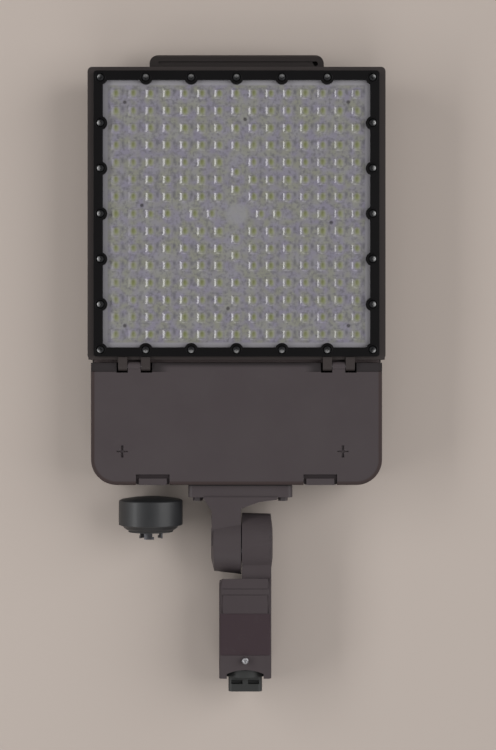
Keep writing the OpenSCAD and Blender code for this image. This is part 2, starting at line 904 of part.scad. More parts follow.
module driver(s) {
    translate([s * driver_x, front_y0 - 6 - driver_l / 2, floor_z])
        difference() {
            union() {
                translate([-driver_w / 2, -driver_l / 2, 0])
                    cube([driver_w, driver_l, 2]);
                translate([-driver_w / 2 + driver_foot, -driver_l / 2, 0])
                    cube([driver_w - 2 * driver_foot, driver_l, driver_h]);
            }
            for (sx = [-1, 1], sy = [-1, 1])
                translate([sx * (driver_w - driver_foot) / 2, sy * (driver_l / 2 - 12), -1])
                    cylinder(r = 2.1, h = 5, $fn = 24);
        }
}

module driver_left() {
    color([0.75, 0.76, 0.77])
        driver(-1);
}

module driver_right() {
    color([0.75, 0.76, 0.77])
        driver(1);
}

module driver_screws() {
    color(zinc)
        at_driver_screws()
            translate([0, 0, floor_z + 2])
                screw(3.6, 2.4, 1.95, 5, $fn = 24);
}

module surge_protector() {
    color([0.15, 0.15, 0.16])
        block([surge_x, seal_y1 + 2, floor_z], [surge_x + surge_w, seal_y1 + 26, floor_z + 26]);
}

module terminal_block() {
    color([0.88, 0.88, 0.84])
        difference() {
            block([-24, seal_y1 + 3, floor_z], [24, seal_y1 + 19, floor_z + 18]);
            for (i = [-1, 0, 1])
                translate([i * 15, seal_y1 + 11, floor_z + 12])
                    cylinder(r = 3, h = 8);
        }
}

module ground_screw() {
    color([0.1, 0.45, 0.2])
        translate([ground_x, ground_y, floor_z])
            screw(4.6, 3, 2.45, 3);
}

module breather_vent() {
    color(black)
        translate([vent_x, vent_y, 0]) {
            translate([0, 0, box_lift - 4])
                cylinder(r = 8, h = 4);
            translate([0, 0, box_lift - 0.01])
                cylinder(r = 5, h = floor_t + 1);
        }
}

// The twist-lock receptacle: its face hangs below the box floor and its stem turns in the floor.
module receptacle() {
    face_z = box_lift - receptacle_out;
    color([0.09, 0.1, 0.12])
        difference() {
            union() {
                translate([0, receptacle_y, face_z])
                    cylinder(r = receptacle_d / 2, h = receptacle_out - 1 - clear);
                translate([0, receptacle_y, face_z + 1])
                    cylinder(r = receptacle_stem_r, h = floor_z + receptacle_stem_h - face_z - 1);
            }
            for (a = [30, 150, 270])
                translate([0, receptacle_y, face_z - 1])
                    rotate([0, 0, a])
                        translate([15, 0, 0])
                            block([-1.8, -6.5, 0], [1.8, 6.5, 11]);
        }
}

module receptacle_contacts() {
    face_z = box_lift - receptacle_out;
    color([0.78, 0.62, 0.3])
        for (a = [30, 150, 270])
            translate([0, receptacle_y, face_z + 3])
                rotate([0, 0, a])
                    translate([15, 0, 0])
                        block([0.8, -6.2, 0], [1.8, 6.2, 7]);
}

module receptacle_nut() {
    color([0.6, 0.6, 0.62])
        translate([0, receptacle_y, floor_z])
            difference() {
                cylinder(r = receptacle_stem_r + 6, h = 5);
                translate([0, 0, -1])
                    cylinder(r = receptacle_stem_r + clear, h = 7);
            }
}

module receptacle_gasket() {
    color([0.12, 0.12, 0.12])
        translate([0, receptacle_y, box_lift - 1])
            difference() {
                cylinder(r = receptacle_d / 2 - 1, h = 1);
                translate([0, 0, -1])
                    cylinder(r = receptacle_stem_r + clear, h = 3);
            }
}

// ---- arm ----

// A knuckle disc that starts at x0: its face is flat in the middle and falls off by fall to
// the rim, and the rim is narrower by draft at that face.
module knuckle_disc(x0, w, fall, draft) {
    flat_r = knuckle_r / 2;
    rim_r = knuckle_r - draft;
    translate([x0, knuckle_y, axis_z])
        rotate([0, 90, 0])
            intersection() {
                cylinder(r1 = rim_r, r2 = knuckle_r, h = w);
                cylinder(r1 = flat_r, r2 = flat_r + (rim_r - flat_r) * w / fall, h = w);
            }
}

module arm_bracket() {
    x0 = fixed_x1 - fixed_half_w;
    neck_h = 30;
    gusset_x0 = flange_x - flange_bolt_dx / 2 + bolt_head_r + 1.2;
    gusset_x1 = flange_x + flange_bolt_dx / 2 - bolt_head_r - 1.2;
    color(bronze)
        difference() {
            union() {
                // flange
                translate([flange_x, flange_y1, axis_z])
                    rotate([90, 0, 0])
                        linear_extrude(flange_t)
                            round_rect(flange_w, flange_h, 7);
                // neck with its two gussets, seen from above
                translate([0, 0, axis_z - neck_h])
                    linear_extrude(2 * neck_h)
                        polygon([
                            [gusset_x0, flange_y0 + eps], [gusset_x0, flange_y0 - 1], [x0 + 1, flange_y0 - 18],
                            [x0 + 1, knuckle_y], [fixed_x1, knuckle_y], [fixed_x1, flange_y0 - 15],
                            [fixed_x1 + 24, flange_y0 - 6], [gusset_x1, flange_y0 - 3],
                            [gusset_x1, flange_y0 + eps]
                        ]);
                knuckle_disc(x0, fixed_half_w, 3.8, 4.5);
            }
            at_flange_bolts()
                rod_y([0, flange_y0 - 1, 0], flange_bolt_d / 2 + 0.3, flange_t + 2);
            // pivot bore, with a seat for the bolt head
            rod_x([x0 - 1, knuckle_y, axis_z], pivot_r + run, fixed_half_w + 2);
            rod_x([x0 - 1, knuckle_y, axis_z], pivot_seat_r, 8);
            // cable way
            rod_y([cable_x, flange_y0 - 24, cable_z], cable_r, flange_t + 25);
        }
}

module arm_gasket() {
    color([0.12, 0.12, 0.12])
        translate([flange_x, box_y0, axis_z])
            rotate([90, 0, 0])
                linear_extrude(flange_gasket_t)
                    difference() {
                        round_rect(flange_w - 2, flange_h - 2, 6);
                        for (sx = [-1, 1], sz = [-1, 1])
                            translate([sx * flange_bolt_dx / 2, sz * flange_bolt_dz / 2])
                                circle(r = flange_bolt_d / 2 + 0.5);
                        translate([cable_x - flange_x, cable_z - axis_z])
                            circle(r = cable_r + 0.5);
                    }
}

module arm_bolts() {
    grip = flange_t + flange_gasket_t + wall_t;
    color(zinc)
        at_flange_bolts() {
            translate([0, flange_y0, 0])
                rotate([90, 0, 0])
                    cylinder(r = bolt_head_r, h = 5.3, $fn = 6);
            rod_y([0, flange_y0 - 0.01, 0], flange_bolt_d / 2, grip + 7.5);
        }
}

module arm_nuts() {
    color(zinc)
        at_flange_bolts()
            difference() {
                rod_y([0, box_y0 + wall_t, 0], bolt_head_r, 6.5, $fn = 6);
                rod_y([0, box_y0, 0], flange_bolt_d / 2 + run, 15);
            }
}

module arm_grommet() {
    color([0.12, 0.12, 0.12])
        difference() {
            union() {
                rod_y([cable_x, seal_y0 - 1.5, cable_z], cable_r - run, wall_t + 1.5);
                rod_y([cable_x, seal_y1, cable_z], cable_r + 2.5, 2);
            }
            rod_y([cable_x, seal_y0 - 3, cable_z], grommet_r, wall_t + 8);
        }
}

module pivot_bolt() {
    x0 = fixed_x1 - fixed_half_w;
    span = fixed_half_w + seam_gap + tilt_half_w;
    color(zinc)
        union() {
            rod_x([x0 + 0.5, knuckle_y, axis_z], pivot_head_r, 6.5, $fn = 6);
            rod_x([x0 + 6, knuckle_y, axis_z], pivot_r, span - 8);
        }
}

module pivot_washer() {
    color(zinc)
        difference() {
            rod_x([fixed_x1, knuckle_y, axis_z], 24, washer_t);
            rod_x([fixed_x1 - 1, knuckle_y, axis_z], pivot_r + run, seam_gap + 2);
        }
}

module pivot_nut() {
    nut_x = tilt_x0 + tilt_half_w - 12 + clear;
    color(zinc)
        difference() {
            rod_x([nut_x, knuckle_y, axis_z], pivot_head_r, 8, $fn = 6);
            rod_x([nut_x - 1, knuckle_y, axis_z], pivot_r + run, 10);
        }
}

// A slice of the sleeve: its rounded square section, extruded from y1 down to y0.
module sleeve_solid(y0, y1) {
    translate([sleeve_x, y1, axis_z])
        rotate([90, 0, 0])
            linear_extrude(y1 - y0)
                round_rect(sleeve_w, sleeve_w, sleeve_edge_r);
}

module slip_fitter() {
    x1 = tilt_x0 + tilt_half_w;
    top_z = axis_z + sleeve_w / 2;
    low_z = axis_z - sleeve_w / 2;
    side_x = sleeve_x - sleeve_w / 2 - 1;
    relief_y1 = sleeve_y1 - 46;
    relief_l = 56;
    arch_r = 60;
    color(bronze)
        difference() {
            union() {
                translate([tilt_x0 + x1, 0, 0])
                    mirror([1, 0, 0])
                        knuckle_disc(tilt_x0, tilt_half_w, 2.4, 1);
                block([tilt_x0, sleeve_y1 - 10, axis_z - 30], [x1 - 2, knuckle_y, axis_z + 30]);
                sleeve_solid(sleeve_y0, sleeve_y1);
            }
            // tenon bore and the cable way into the knuckle
            rod_y([sleeve_x, sleeve_y0 - 1, axis_z], tenon_r, tenon_l + 1);
            rod_y([sleeve_x + 8, sleeve_y0, axis_z], cable_r, sleeve_l + shoulder_gap + 10);
            // pivot bore, with a seat for the nut
            rod_x([tilt_x0 - 1, knuckle_y, axis_z], pivot_r + run, tilt_half_w + 2);
            rod_x([x1 - 12, knuckle_y, axis_z], pivot_seat_r, 13);
            // collar grooves, flat relief and arched mouth on the lens side
            for (d = [13.5, 21.5])
                block([sleeve_x - sleeve_w, sleeve_y1 - d - 0.6, top_z - 0.8],
                      [sleeve_x + sleeve_w, sleeve_y1 - d + 0.6, top_z + 1]);
            block([side_x, relief_y1 - relief_l, top_z - 1], [side_x + sleeve_w + 2, relief_y1, top_z + 1]);
            // shoulder beside the fixed half: it leans back, and its outer corner is cut off
            translate([side_x, sleeve_y1, 0])
                rotate([90, 0, 90])
                    linear_extrude(tilt_x0 - side_x)
                        polygon([
                            [-shoulder_lean, low_z - 1], [1, low_z - 1], [1, top_z + 1], [0.1, top_z + 1]
                        ]);
            translate([side_x, sleeve_y1, low_z - 1])
                linear_extrude(sleeve_w + 2)
                    polygon([[0, -1.25 * shoulder_corner - 1.25], [shoulder_corner + 2, 1.25], [0, 1.25]]);
            intersection() {
                translate([sleeve_x, sleeve_y0 + 11.5 - arch_r, axis_z])
                    cylinder(r = arch_r, h = sleeve_w, $fn = 180);
                block([sleeve_x - 24.5, sleeve_y0 - 1, axis_z], [sleeve_x + 24.5, sleeve_y0 + 20, top_z + 1]);
            }
            // threaded holes of the clamp screws
            translate([sleeve_x, lock_y, axis_z])
                cylinder(r = clamp_d / 2 + run, h = sleeve_w);
            for (y = [clamp_near_y, clamp_far_y])
                translate([sleeve_x, y, -1])
                    cylinder(r = clamp_d / 2 + run, h = axis_z);
        }
}

lock_y = sleeve_y0 + 24.6;
clamp_near_y = sleeve_y0 + 31.6;
clamp_far_y = sleeve_y0 + 81.6;

module lock_screw() {
    top_z = axis_z + sleeve_w / 2;
    color([0.9, 0.9, 0.92])
        difference() {
            union() {
                translate([sleeve_x, lock_y, axis_z + tenon_r])
                    cylinder(r = clamp_d / 2, h = top_z - axis_z - tenon_r + 4);
                translate([sleeve_x, lock_y, top_z + 3.5])
                    cylinder(r1 = 4.8, r2 = 3.9, h = 3);
            }
            translate([sleeve_x, lock_y, top_z + 4])
                cylinder(r = 2.3, h = 5, $fn = 6);
        }
}

module clamp_screw(y) {
    wall_z = axis_z - tenon_r;
    color(zinc)
        difference() {
            translate([sleeve_x, y, wall_z - clamp_reach])
                cylinder(r = clamp_d / 2, h = clamp_reach);
            translate([sleeve_x, y, wall_z - clamp_reach - 1])
                cylinder(r = 2.3, h = 4.5, $fn = 6);
        }
}

module clamp_screw_near() {
    clamp_screw(clamp_near_y);
}

module clamp_screw_far() {
    clamp_screw(clamp_far_y);
}

module end_plug() {
    plug_h = plug_w - 1;
    color([0.1, 0.1, 0.1])
        difference() {
            union() {
                translate([sleeve_x, sleeve_y0 + 0.01, axis_z])
                    rotate([90, 0, 0])
                        linear_extrude(plug_out)
                            round_rect(plug_w, plug_h, 6);
                rod_y([sleeve_x, sleeve_y0, axis_z], tenon_r - clear, 10.5);
            }
            // hollow from inside, and two finger recesses on the lens side
            rod_y([sleeve_x, sleeve_y0 + 2, axis_z], tenon_r - 4, 12);
            for (s = [-1, 1])
                block([sleeve_x + s * 11 - 7.5, sleeve_y0 - plug_out / 2 + 0.5, axis_z + plug_h / 2 - 6],
                      [sleeve_x + s * 11 + 7.5, sleeve_y0 - 4, axis_z + plug_h]);
        }
}

// ---- loose cap, lying on its side with its blades towards -Y ----

module lay_cap() {
    translate([cap_x, cap_wall_y1, cap_z])
        rotate([90, 0, 0])
            children();
}

module cap_shell() {
    dome_r = (cap_d * cap_d / 4 + cap_dome_h * cap_dome_h) / (2 * cap_dome_h);
    skin = 2.4;
    color([0.08, 0.09, 0.11])
        lay_cap()
            difference() {
                union() {
                    cylinder(r = cap_d / 2, h = cap_wall_h);
                    intersection() {
                        translate([0, 0, dome_r - cap_dome_h])
                            sphere(r = dome_r, $fn = 360);
                        translate([0, 0, -2 * cap_dome_h])
                            cylinder(r = cap_d / 2, h = 2 * cap_dome_h + eps);
                    }
                }
                translate([0, 0, skin])
                    cylinder(r = cap_d / 2 - skin, h = cap_wall_h);
            }
}

module cap_base() {
    color([0.1, 0.11, 0.13])
        lay_cap() {
            translate([0, 0, cap_wall_h - 6])
                cylinder(r = cap_d / 2 - 2.4, h = 6.01);
            translate([0, 0, cap_wall_h])
                cylinder(r1 = cap_base_d / 2 + 3, r2 = cap_base_d / 2, h = 3.01);
            translate([0, 0, cap_wall_h + 3])
                cylinder(r1 = cap_base_d / 2, r2 = cap_base_d / 2 - cap_base_taper, h = cap_base_h - 3);
        }
}

module cap_gasket() {
    color([0.16, 0.16, 0.17])
        lay_cap()
            translate([0, 0, cap_wall_h + cap_base_h])
                difference() {
                    cylinder(r = cap_base_d / 2 - cap_base_taper - 1, h = 2);
                    translate([0, 0, -1])
                        cylinder(r = cap_base_d / 2 - cap_base_taper - 9, h = 4);
                }
}

// Three curved blades, each hooked at its tip.
module cap_blades() {
    ring_r = 16;
    blade_t = 1.8;
    color([0.2, 0.2, 0.22])
        lay_cap()
            for (a = [100, 220, 340])
                rotate([0, 0, a])
                    translate([0, 0, cap_wall_h + cap_base_h])
                        intersection() {
                            difference() {
                                cylinder(r = ring_r, h = blade_l);
                                translate([0, 0, -1])
                                    cylinder(r = ring_r - blade_t, h = blade_l + 2);
                            }
                            union() {
                                block([0, -5.5, -1], [ring_r + 1, 5.5, blade_l + 1]);
                                block([0, -7.5, blade_l - 3.5], [ring_r + 1, 5.5, blade_l + 1]);
                            }
                        }
}

housing();
lens_frame();
frame_screws();
lens_gasket();
lens_plate();
led_board();
led_chips();
board_screws();
board_connector();
led_leads();
duct_grommet();
door();
door_gasket();
door_screws();
hinge_pins();
latch_left();
latch_right();
latch_pins();
latch_springs();
driver_left();
driver_right();
driver_screws();
surge_protector();
terminal_block();
ground_screw();
breather_vent();
receptacle();
receptacle_contacts();
receptacle_nut();
receptacle_gasket();
arm_bracket();
arm_gasket();
arm_bolts();
arm_nuts();
arm_grommet();
pivot_bolt();
pivot_washer();
pivot_nut();
slip_fitter();
lock_screw();
clamp_screw_near();
clamp_screw_far();
end_plug();
cap_shell();
cap_base();
cap_gasket();
cap_blades();
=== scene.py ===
import math

import bmesh
import bpy
import numpy as np
from mathutils import Matrix, Vector


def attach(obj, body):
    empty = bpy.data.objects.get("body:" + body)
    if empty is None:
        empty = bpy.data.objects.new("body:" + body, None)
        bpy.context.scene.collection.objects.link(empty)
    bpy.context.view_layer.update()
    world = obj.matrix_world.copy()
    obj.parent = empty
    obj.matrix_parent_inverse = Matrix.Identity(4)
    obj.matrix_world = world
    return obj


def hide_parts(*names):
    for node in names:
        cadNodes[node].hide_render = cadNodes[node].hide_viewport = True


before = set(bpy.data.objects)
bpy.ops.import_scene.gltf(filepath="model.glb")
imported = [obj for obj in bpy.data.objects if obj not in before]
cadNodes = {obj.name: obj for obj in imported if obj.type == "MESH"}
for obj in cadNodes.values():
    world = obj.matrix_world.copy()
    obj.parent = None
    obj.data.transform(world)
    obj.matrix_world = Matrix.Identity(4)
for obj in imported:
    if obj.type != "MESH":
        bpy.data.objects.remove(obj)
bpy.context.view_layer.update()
mm = 0.001
print("frame loaded:", len(cadNodes), "nodes")

lensMiddle = 208.9  # where the middle of the lens lies along y, in mm
ledPitch = 22.8  # from one LED to the next, in mm
mergeMade, mergeCut, mergeSoft = 1e-6, 2e-6, 6e-7  # points this close are one, in m
smoothAngle = 34  # edges that turn further stay sharp, in degrees


class Value:
    # one socket that can be used in sums
    def __init__(self, paint, socket):
        self.paint, self.socket = paint, socket

    def __add__(self, other):
        return self.paint.maths("ADD", self, other)

    def __sub__(self, other):
        return self.paint.maths("SUBTRACT", self, other)

    def __rsub__(self, other):
        return self.paint.maths("SUBTRACT", other, self)

    def __mul__(self, other):
        return self.paint.maths("MULTIPLY", self, other)

    def __truediv__(self, other):
        return self.paint.maths("DIVIDE", self, other)

    def __rtruediv__(self, other):
        return self.paint.maths("DIVIDE", other, self)

    def __pow__(self, other):
        return self.paint.maths("POWER", self, other)

    def __gt__(self, other):
        return self.paint.maths("GREATER_THAN", self, other)

    def __lt__(self, other):
        return self.paint.maths("LESS_THAN", self, other)

    __radd__ = __add__
    __rmul__ = __mul__


class Paint:
    # a material under construction
    def __init__(self, name):
        self.material = bpy.data.materials.new(name)
        self.material.use_nodes = True
        self.tree = self.material.node_tree
        self.shader = self.tree.nodes["Principled BSDF"]
        self.place = self.node("ShaderNodeTexCoord").outputs["Object"]

    def feed(self, socket, value):
        value = value.socket if isinstance(value, Value) else value
        if isinstance(value, bpy.types.NodeSocket):
            self.tree.links.new(value, socket)
        elif isinstance(value, (tuple, list)) and len(value) == 3 and socket.type == "RGBA":
            socket.default_value = (*value, 1)
        else:
            socket.default_value = value

    def node(self, kind, settings=None, values=None):
        made = self.tree.nodes.new(kind)
        for key, value in (settings or {}).items():
            setattr(made, key, value)
        for key, value in (values or {}).items():
            self.feed(made.inputs[key], value)
        return made

    def axes(self, place=None):
        parts = self.node("ShaderNodeSeparateXYZ", values={0: place or self.place}).outputs
        return [Value(self, part) for part in parts]

    def maths(self, operation, a, b=0.0):
        return Value(self, self.node("ShaderNodeMath", {"operation": operation}, {0: a, 1: b}).outputs[0])

    def noise(self, size, detail=2.0, rough=0.5, stretch=(1, 1, 1), shift=(0, 0, 0)):
        # size is the width of one blotch, in mm
        place = self.node("ShaderNodeMapping", values={
            0: self.place, "Location": shift, "Scale": stretch}).outputs[0]
        made = self.node("ShaderNodeTexNoise", values={
            "Vector": place, "Scale": 1 / (size * mm), "Detail": detail, "Roughness": rough})
        return Value(self, made.outputs["Fac"])

    def between(self, value, low, high, fromLow=0.0, fromHigh=1.0):
        made = self.node("ShaderNodeMapRange", {"clamp": True}, {
            "Value": value, "From Min": fromLow, "From Max": fromHigh, "To Min": low, "To Max": high})
        return Value(self, made.outputs["Result"])

    def blend(self, factor, a, b):
        return self.node("ShaderNodeMix", {"data_type": "RGBA"}, {0: factor, 6: a, 7: b}).outputs[2]

    def bump(self, height, distance):
        # distance in mm
        return self.node("ShaderNodeBump", values={
            "Strength": 1.0, "Distance": distance * mm, "Height": height}).outputs["Normal"]

    def finish(self, **sockets):
        names = {"base": "Base Color", "rough": "Roughness", "metal": "Metallic", "normal": "Normal",
                 "alpha": "Alpha", "coat": "Coat Weight", "coatRough": "Coat Roughness", "ior": "IOR",
                 "specular": "Specular IOR Level"}
        for key, value in sockets.items():
            self.feed(self.shader.inputs[names[key]], value)
        return self.material


def srgb(r, g, b):
    # a colour as it is read off a screen, 0 to 255
    return tuple(round(c / 12.92 if c <= 0.04045 else ((c + 0.055) / 1.055) ** 2.4, 5)
                 for c in (r / 255, g / 255, b / 255))


# cloud, dust and grain are widths of blotches in mm; peel is a multiple of the grain
powderCoat = {"colour": srgb(65, 58, 60), "dusty": srgb(73, 67, 68), "rough": 0.5, "specular": 0.26,
              "cloud": 60, "dust": 14, "share": 0.3, "grain": 1.1, "peel": 3.4, "depth": 0.03}
# the head's coat is a darker copy of the bronze coat: painted shade on the head, darker still towards the
# nose's tip
shadedHeadCoat = {**powderCoat, "colour": srgb(51, 45, 44), "dusty": srgb(59, 53, 51),
            "nose": 400, "noseEnd": 410, "noseShare": 0.75, "noseShadeColour": srgb(37, 32, 31)}
satinBlack = {**powderCoat, "colour": srgb(10, 9, 10), "dusty": srgb(18, 17, 18), "rough": 0.46,
              "specular": 0.12, "grain": 0.9}
# the door's coat carries painted shade along its edge and where its hinge side rolls down
doorCoat = {**powderCoat, "rim": 5.5, "rimFade": 1.4, "rimRadius": 34, "rimHalf": 193, "rimLow": -150.4,
            "rimShare": 0.8, "rimShadeColour": srgb(52, 40, 38), "rollTop": 78, "rollHigh": 0.1,
            "rollDeep": 1.8, "rollStart": -3, "rollShare": 0.85, "rollShadeColour": srgb(33, 29, 30)}
latchCoat = {**powderCoat, "grooveTop": 75.6, "grooveLow": 73.9, "grooveShare": 0.85,
             "grooveShadeColour": srgb(38, 31, 33)}
# a lighter copy of the bronze coat: painted light, so the deep gap where the ledge sits reads less dark
ledgeLitCoat = {**powderCoat, "colour": srgb(78, 68, 68), "dusty": srgb(86, 77, 76)}
sleeveCoat = {**powderCoat, "rough": 0.64, "specular": 0.16, "patch": (11.5, -348.7),
              "patchHalf": (36, 28), "patchLow": 74.5, "patchColour": srgb(57, 46, 50)}


def makePowderCoat(name, s):
    paint = Paint(name)
    x, y, z = paint.axes()
    grain = paint.noise(s["grain"], 2, 0.6)
    peel = paint.noise(s["grain"] * s["peel"], 1)
    clouds = paint.between(paint.noise(s["cloud"], 3), 0, s["share"], 0.35, 0.7)
    dust = paint.noise(s["dust"], 5, 0.7, shift=(0.3, 0.1, 0.2))
    dust = paint.between(dust, 0, s["share"], 0.58, 0.76)
    base = paint.blend(clouds, s["colour"], s["dusty"])
    if "patch" in s:
        # a recessed field a shade darker than the rest
        (middleX, middleY), (halfX, halfY) = s["patch"], s["patchHalf"]
        out = paint.maths("MAXIMUM", paint.maths("ABSOLUTE", x - middleX * mm) / (halfX * mm),
                          paint.maths("ABSOLUTE", y - middleY * mm) / (halfY * mm))
        inside = paint.between(out, 1, 0, 0.97, 1.0) * (z > s["patchLow"] * mm)
        base = paint.blend(inside, base, s["patchColour"])
    base = paint.blend(dust, base, s["dusty"])
    if "nose" in s:
        # painted shade: the nose is darker towards its tip
        nose = paint.between(y, 0, s["noseShare"], s["nose"] * mm, s["noseEnd"] * mm)
        base = paint.blend(nose, base, s["noseShadeColour"])
    if "grooveTop" in s:
        # painted shade on the floor of a shallow gap
        groove = (z < s["grooveTop"] * mm) * (z > s["grooveLow"] * mm) * s["grooveShare"]
        base = paint.blend(groove, base, s["grooveShadeColour"])
    if "rim" in s:
        # painted shade: a darker band along the door's outer edge, and down its hinge side where it rolls into
        # the gap
        r = s["rimRadius"]
        acrossX = paint.maths("MAXIMUM", paint.maths("ABSOLUTE", x) - (s["rimHalf"] - r) * mm, 0)
        acrossY = paint.maths("MAXIMUM", (s["rimLow"] + r) * mm - y, 0)
        out = (acrossX ** 2 + acrossY ** 2) ** 0.5
        start = r - s["rim"]
        band = paint.between(out, 0, s["rimShare"], start * mm, (start + s["rimFade"]) * mm)
        base = paint.blend(band, base, s["rimShadeColour"])
        # painted shade where the door's face lies low, on the hinge side's roll and step
        deep = s["rollTop"] * mm - z
        low = paint.between(deep, 0, s["rollShare"], s["rollHigh"] * mm, s["rollDeep"] * mm)
        base = paint.blend(low * (y > s["rollStart"] * mm), base, s["rollShadeColour"])
    rough = paint.between(grain, s["rough"] - 0.05, s["rough"] + 0.07) + dust * 0.2
    normal = paint.bump(grain + peel * 1.6, s["depth"])
    return paint.finish(base=base, rough=rough, normal=normal, specular=s["specular"])


metalGrain = {"stain": 3.5, "line": 0.5, "lineLong": 8, "depth": 0.01}
zincPlate = {"colour": (0.68, 0.68, 0.7), "dull": (0.42, 0.42, 0.44), "rough": 0.26}
dullPlate = {"colour": (0.3, 0.29, 0.27), "dull": (0.16, 0.155, 0.15), "rough": 0.42}
steelPin = {"colour": (0.46, 0.46, 0.48), "dull": (0.3, 0.29, 0.29), "rough": 0.34}
brassContact = {"colour": (0.72, 0.53, 0.24), "dull": (0.45, 0.32, 0.14), "rough": 0.3}
canMetal = {"colour": (0.6, 0.61, 0.62), "dull": (0.47, 0.48, 0.49), "rough": 0.4}
bladeMetal = {"colour": (0.09, 0.09, 0.095), "dull": (0.05, 0.05, 0.055), "rough": 0.45}


def makeMetal(name, s):
    paint = Paint(name)
    stain = paint.noise(metalGrain["stain"], 4, 0.6)
    lines = paint.noise(metalGrain["line"], 1, stretch=(1, metalGrain["lineLong"], 1))
    base = paint.blend(paint.between(stain, 0, 1, 0.35, 0.75), s["colour"], s["dull"])
    rough = paint.between(stain, s["rough"] - 0.06, s["rough"] + 0.14) + lines * 0.05
    return paint.finish(base=base, metal=1.0, rough=rough, normal=paint.bump(lines, metalGrain["depth"]))


plainPlastic = {"cloud": 25, "grain": 0.6, "depth": 0.02, "coat": 0.0, "coatRough": 0.12}
rubber = {**plainPlastic, "colour": srgb(34, 34, 34), "other": srgb(48, 47, 46), "rough": 0.72, "depth": 0.05}
plugPlastic = {**plainPlastic, "colour": srgb(30, 31, 30), "other": srgb(38, 39, 38), "rough": 0.5,
               "depth": 0.03}
darkPlastic = {**plainPlastic, "colour": srgb(30, 30, 32), "other": srgb(42, 42, 44), "rough": 0.46}
capPlastic = {**plainPlastic, "colour": srgb(27, 28, 30), "other": srgb(34, 35, 37), "rough": 0.46,
              "coat": 0.05, "depth": 0.008}
whitePlastic = {**plainPlastic, "colour": srgb(214, 213, 206), "other": srgb(200, 198, 190), "rough": 0.4}
redLead = {**plainPlastic, "colour": srgb(166, 26, 22), "other": srgb(140, 20, 18), "rough": 0.36}
greenPaint = {**plainPlastic, "colour": srgb(38, 120, 62), "other": srgb(30, 98, 50), "rough": 0.42}
phosphor = {**plainPlastic, "colour": srgb(196, 196, 70), "other": srgb(178, 184, 60), "rough": 0.6,
            "cloud": 3}
darkHead = {**plainPlastic, "colour": srgb(70, 64, 66), "other": srgb(60, 54, 56), "rough": 0.4}


def makePlastic(name, s):
    paint = Paint(name)
    cloud = paint.noise(s["cloud"], 3)
    grain = paint.noise(s["grain"], 2)
    base = paint.blend(paint.between(cloud, 0, 1, 0.3, 0.75), s["colour"], s["other"])
    rough = paint.between(cloud, s["rough"] - 0.04, s["rough"] + 0.08) + grain * 0.05
    return paint.finish(base=base, rough=rough, normal=paint.bump(grain, s["depth"]),
                        coat=s["coat"], coatRough=s["coatRough"])


solderMask = {"colour": srgb(178, 176, 186), "warm": srgb(182, 184, 172), "tint": 38,
              "lane": srgb(150, 150, 148), "laneShare": 0.3, "laneDepth": 0.04, "rough": 0.5}


def makeBoard(s):
    # white solder mask with faint copper lanes and a warm tint here and there
    paint = Paint("solderMask")
    lane = paint.maths("FRACT", paint.axes()[0] / (ledPitch * mm) + 0.25)
    lane = paint.between(paint.maths("ABSOLUTE", lane - 0.5), 1, 0, 0.05, 0.1)
    tint = paint.between(paint.noise(s["tint"], 2), 0, 1, 0.35, 0.65)
    base = paint.blend(tint, s["colour"], s["warm"])
    base = paint.blend(lane * s["laneShare"], base, s["lane"])
    return paint.finish(base=base, rough=s["rough"], normal=paint.bump(lane, s["laneDepth"]))


# what the board lends to the plate and its optics: clouds of two tints and darker specks
haze = {"cloud": 15, "cloudRange": (0.36, 0.64), "speck": 4.2, "speckRange": (0.48, 0.7), "speckShare": 0.75}


def makeHaze(paint):
    cloud = paint.noise(haze["cloud"], 1, 0.4)
    tint = paint.between(cloud, 0, 1, *haze["cloudRange"])
    speck = paint.between(paint.noise(haze["speck"], 2, 0.6), 0, haze["speckShare"], *haze["speckRange"])
    return cloud, tint, speck


# the painted shadow beside each optic: its place, in pitches; screws: places in pitches from the middle
lens = {"alpha": 0.8, "specular": 0.4, "ior": 1.45, "lilac": srgb(135, 131, 145), "olive": srgb(138, 138, 127),
        "pale": srgb(147, 146, 150), "light": 24, "speck": srgb(104, 103, 108), "depth": 0.05,
        "border": 169.5, "borderFade": 2, "edge": srgb(153, 151, 156), "edgeShare": 0.9,
        "disc": 14.5, "discFade": 3, "discShare": 0.7,
        "sideShade": (0.39, 0.13), "sideShadeWide": 2.6, "sideShadeLong": 4.6, "sideShadeShare": 0.8,
        "screwColour": srgb(66, 62, 66), "screwInner": 1.2, "screwOuter": 3.4,
        "screws": ((6.5, 6.5), (6.5, -6.5), (-6.5, 6.5), (-6.5, -6.5),
                   (0.5, 5.5), (-5.5, 0.5), (5.5, -0.5), (-0.5, -5.5))}


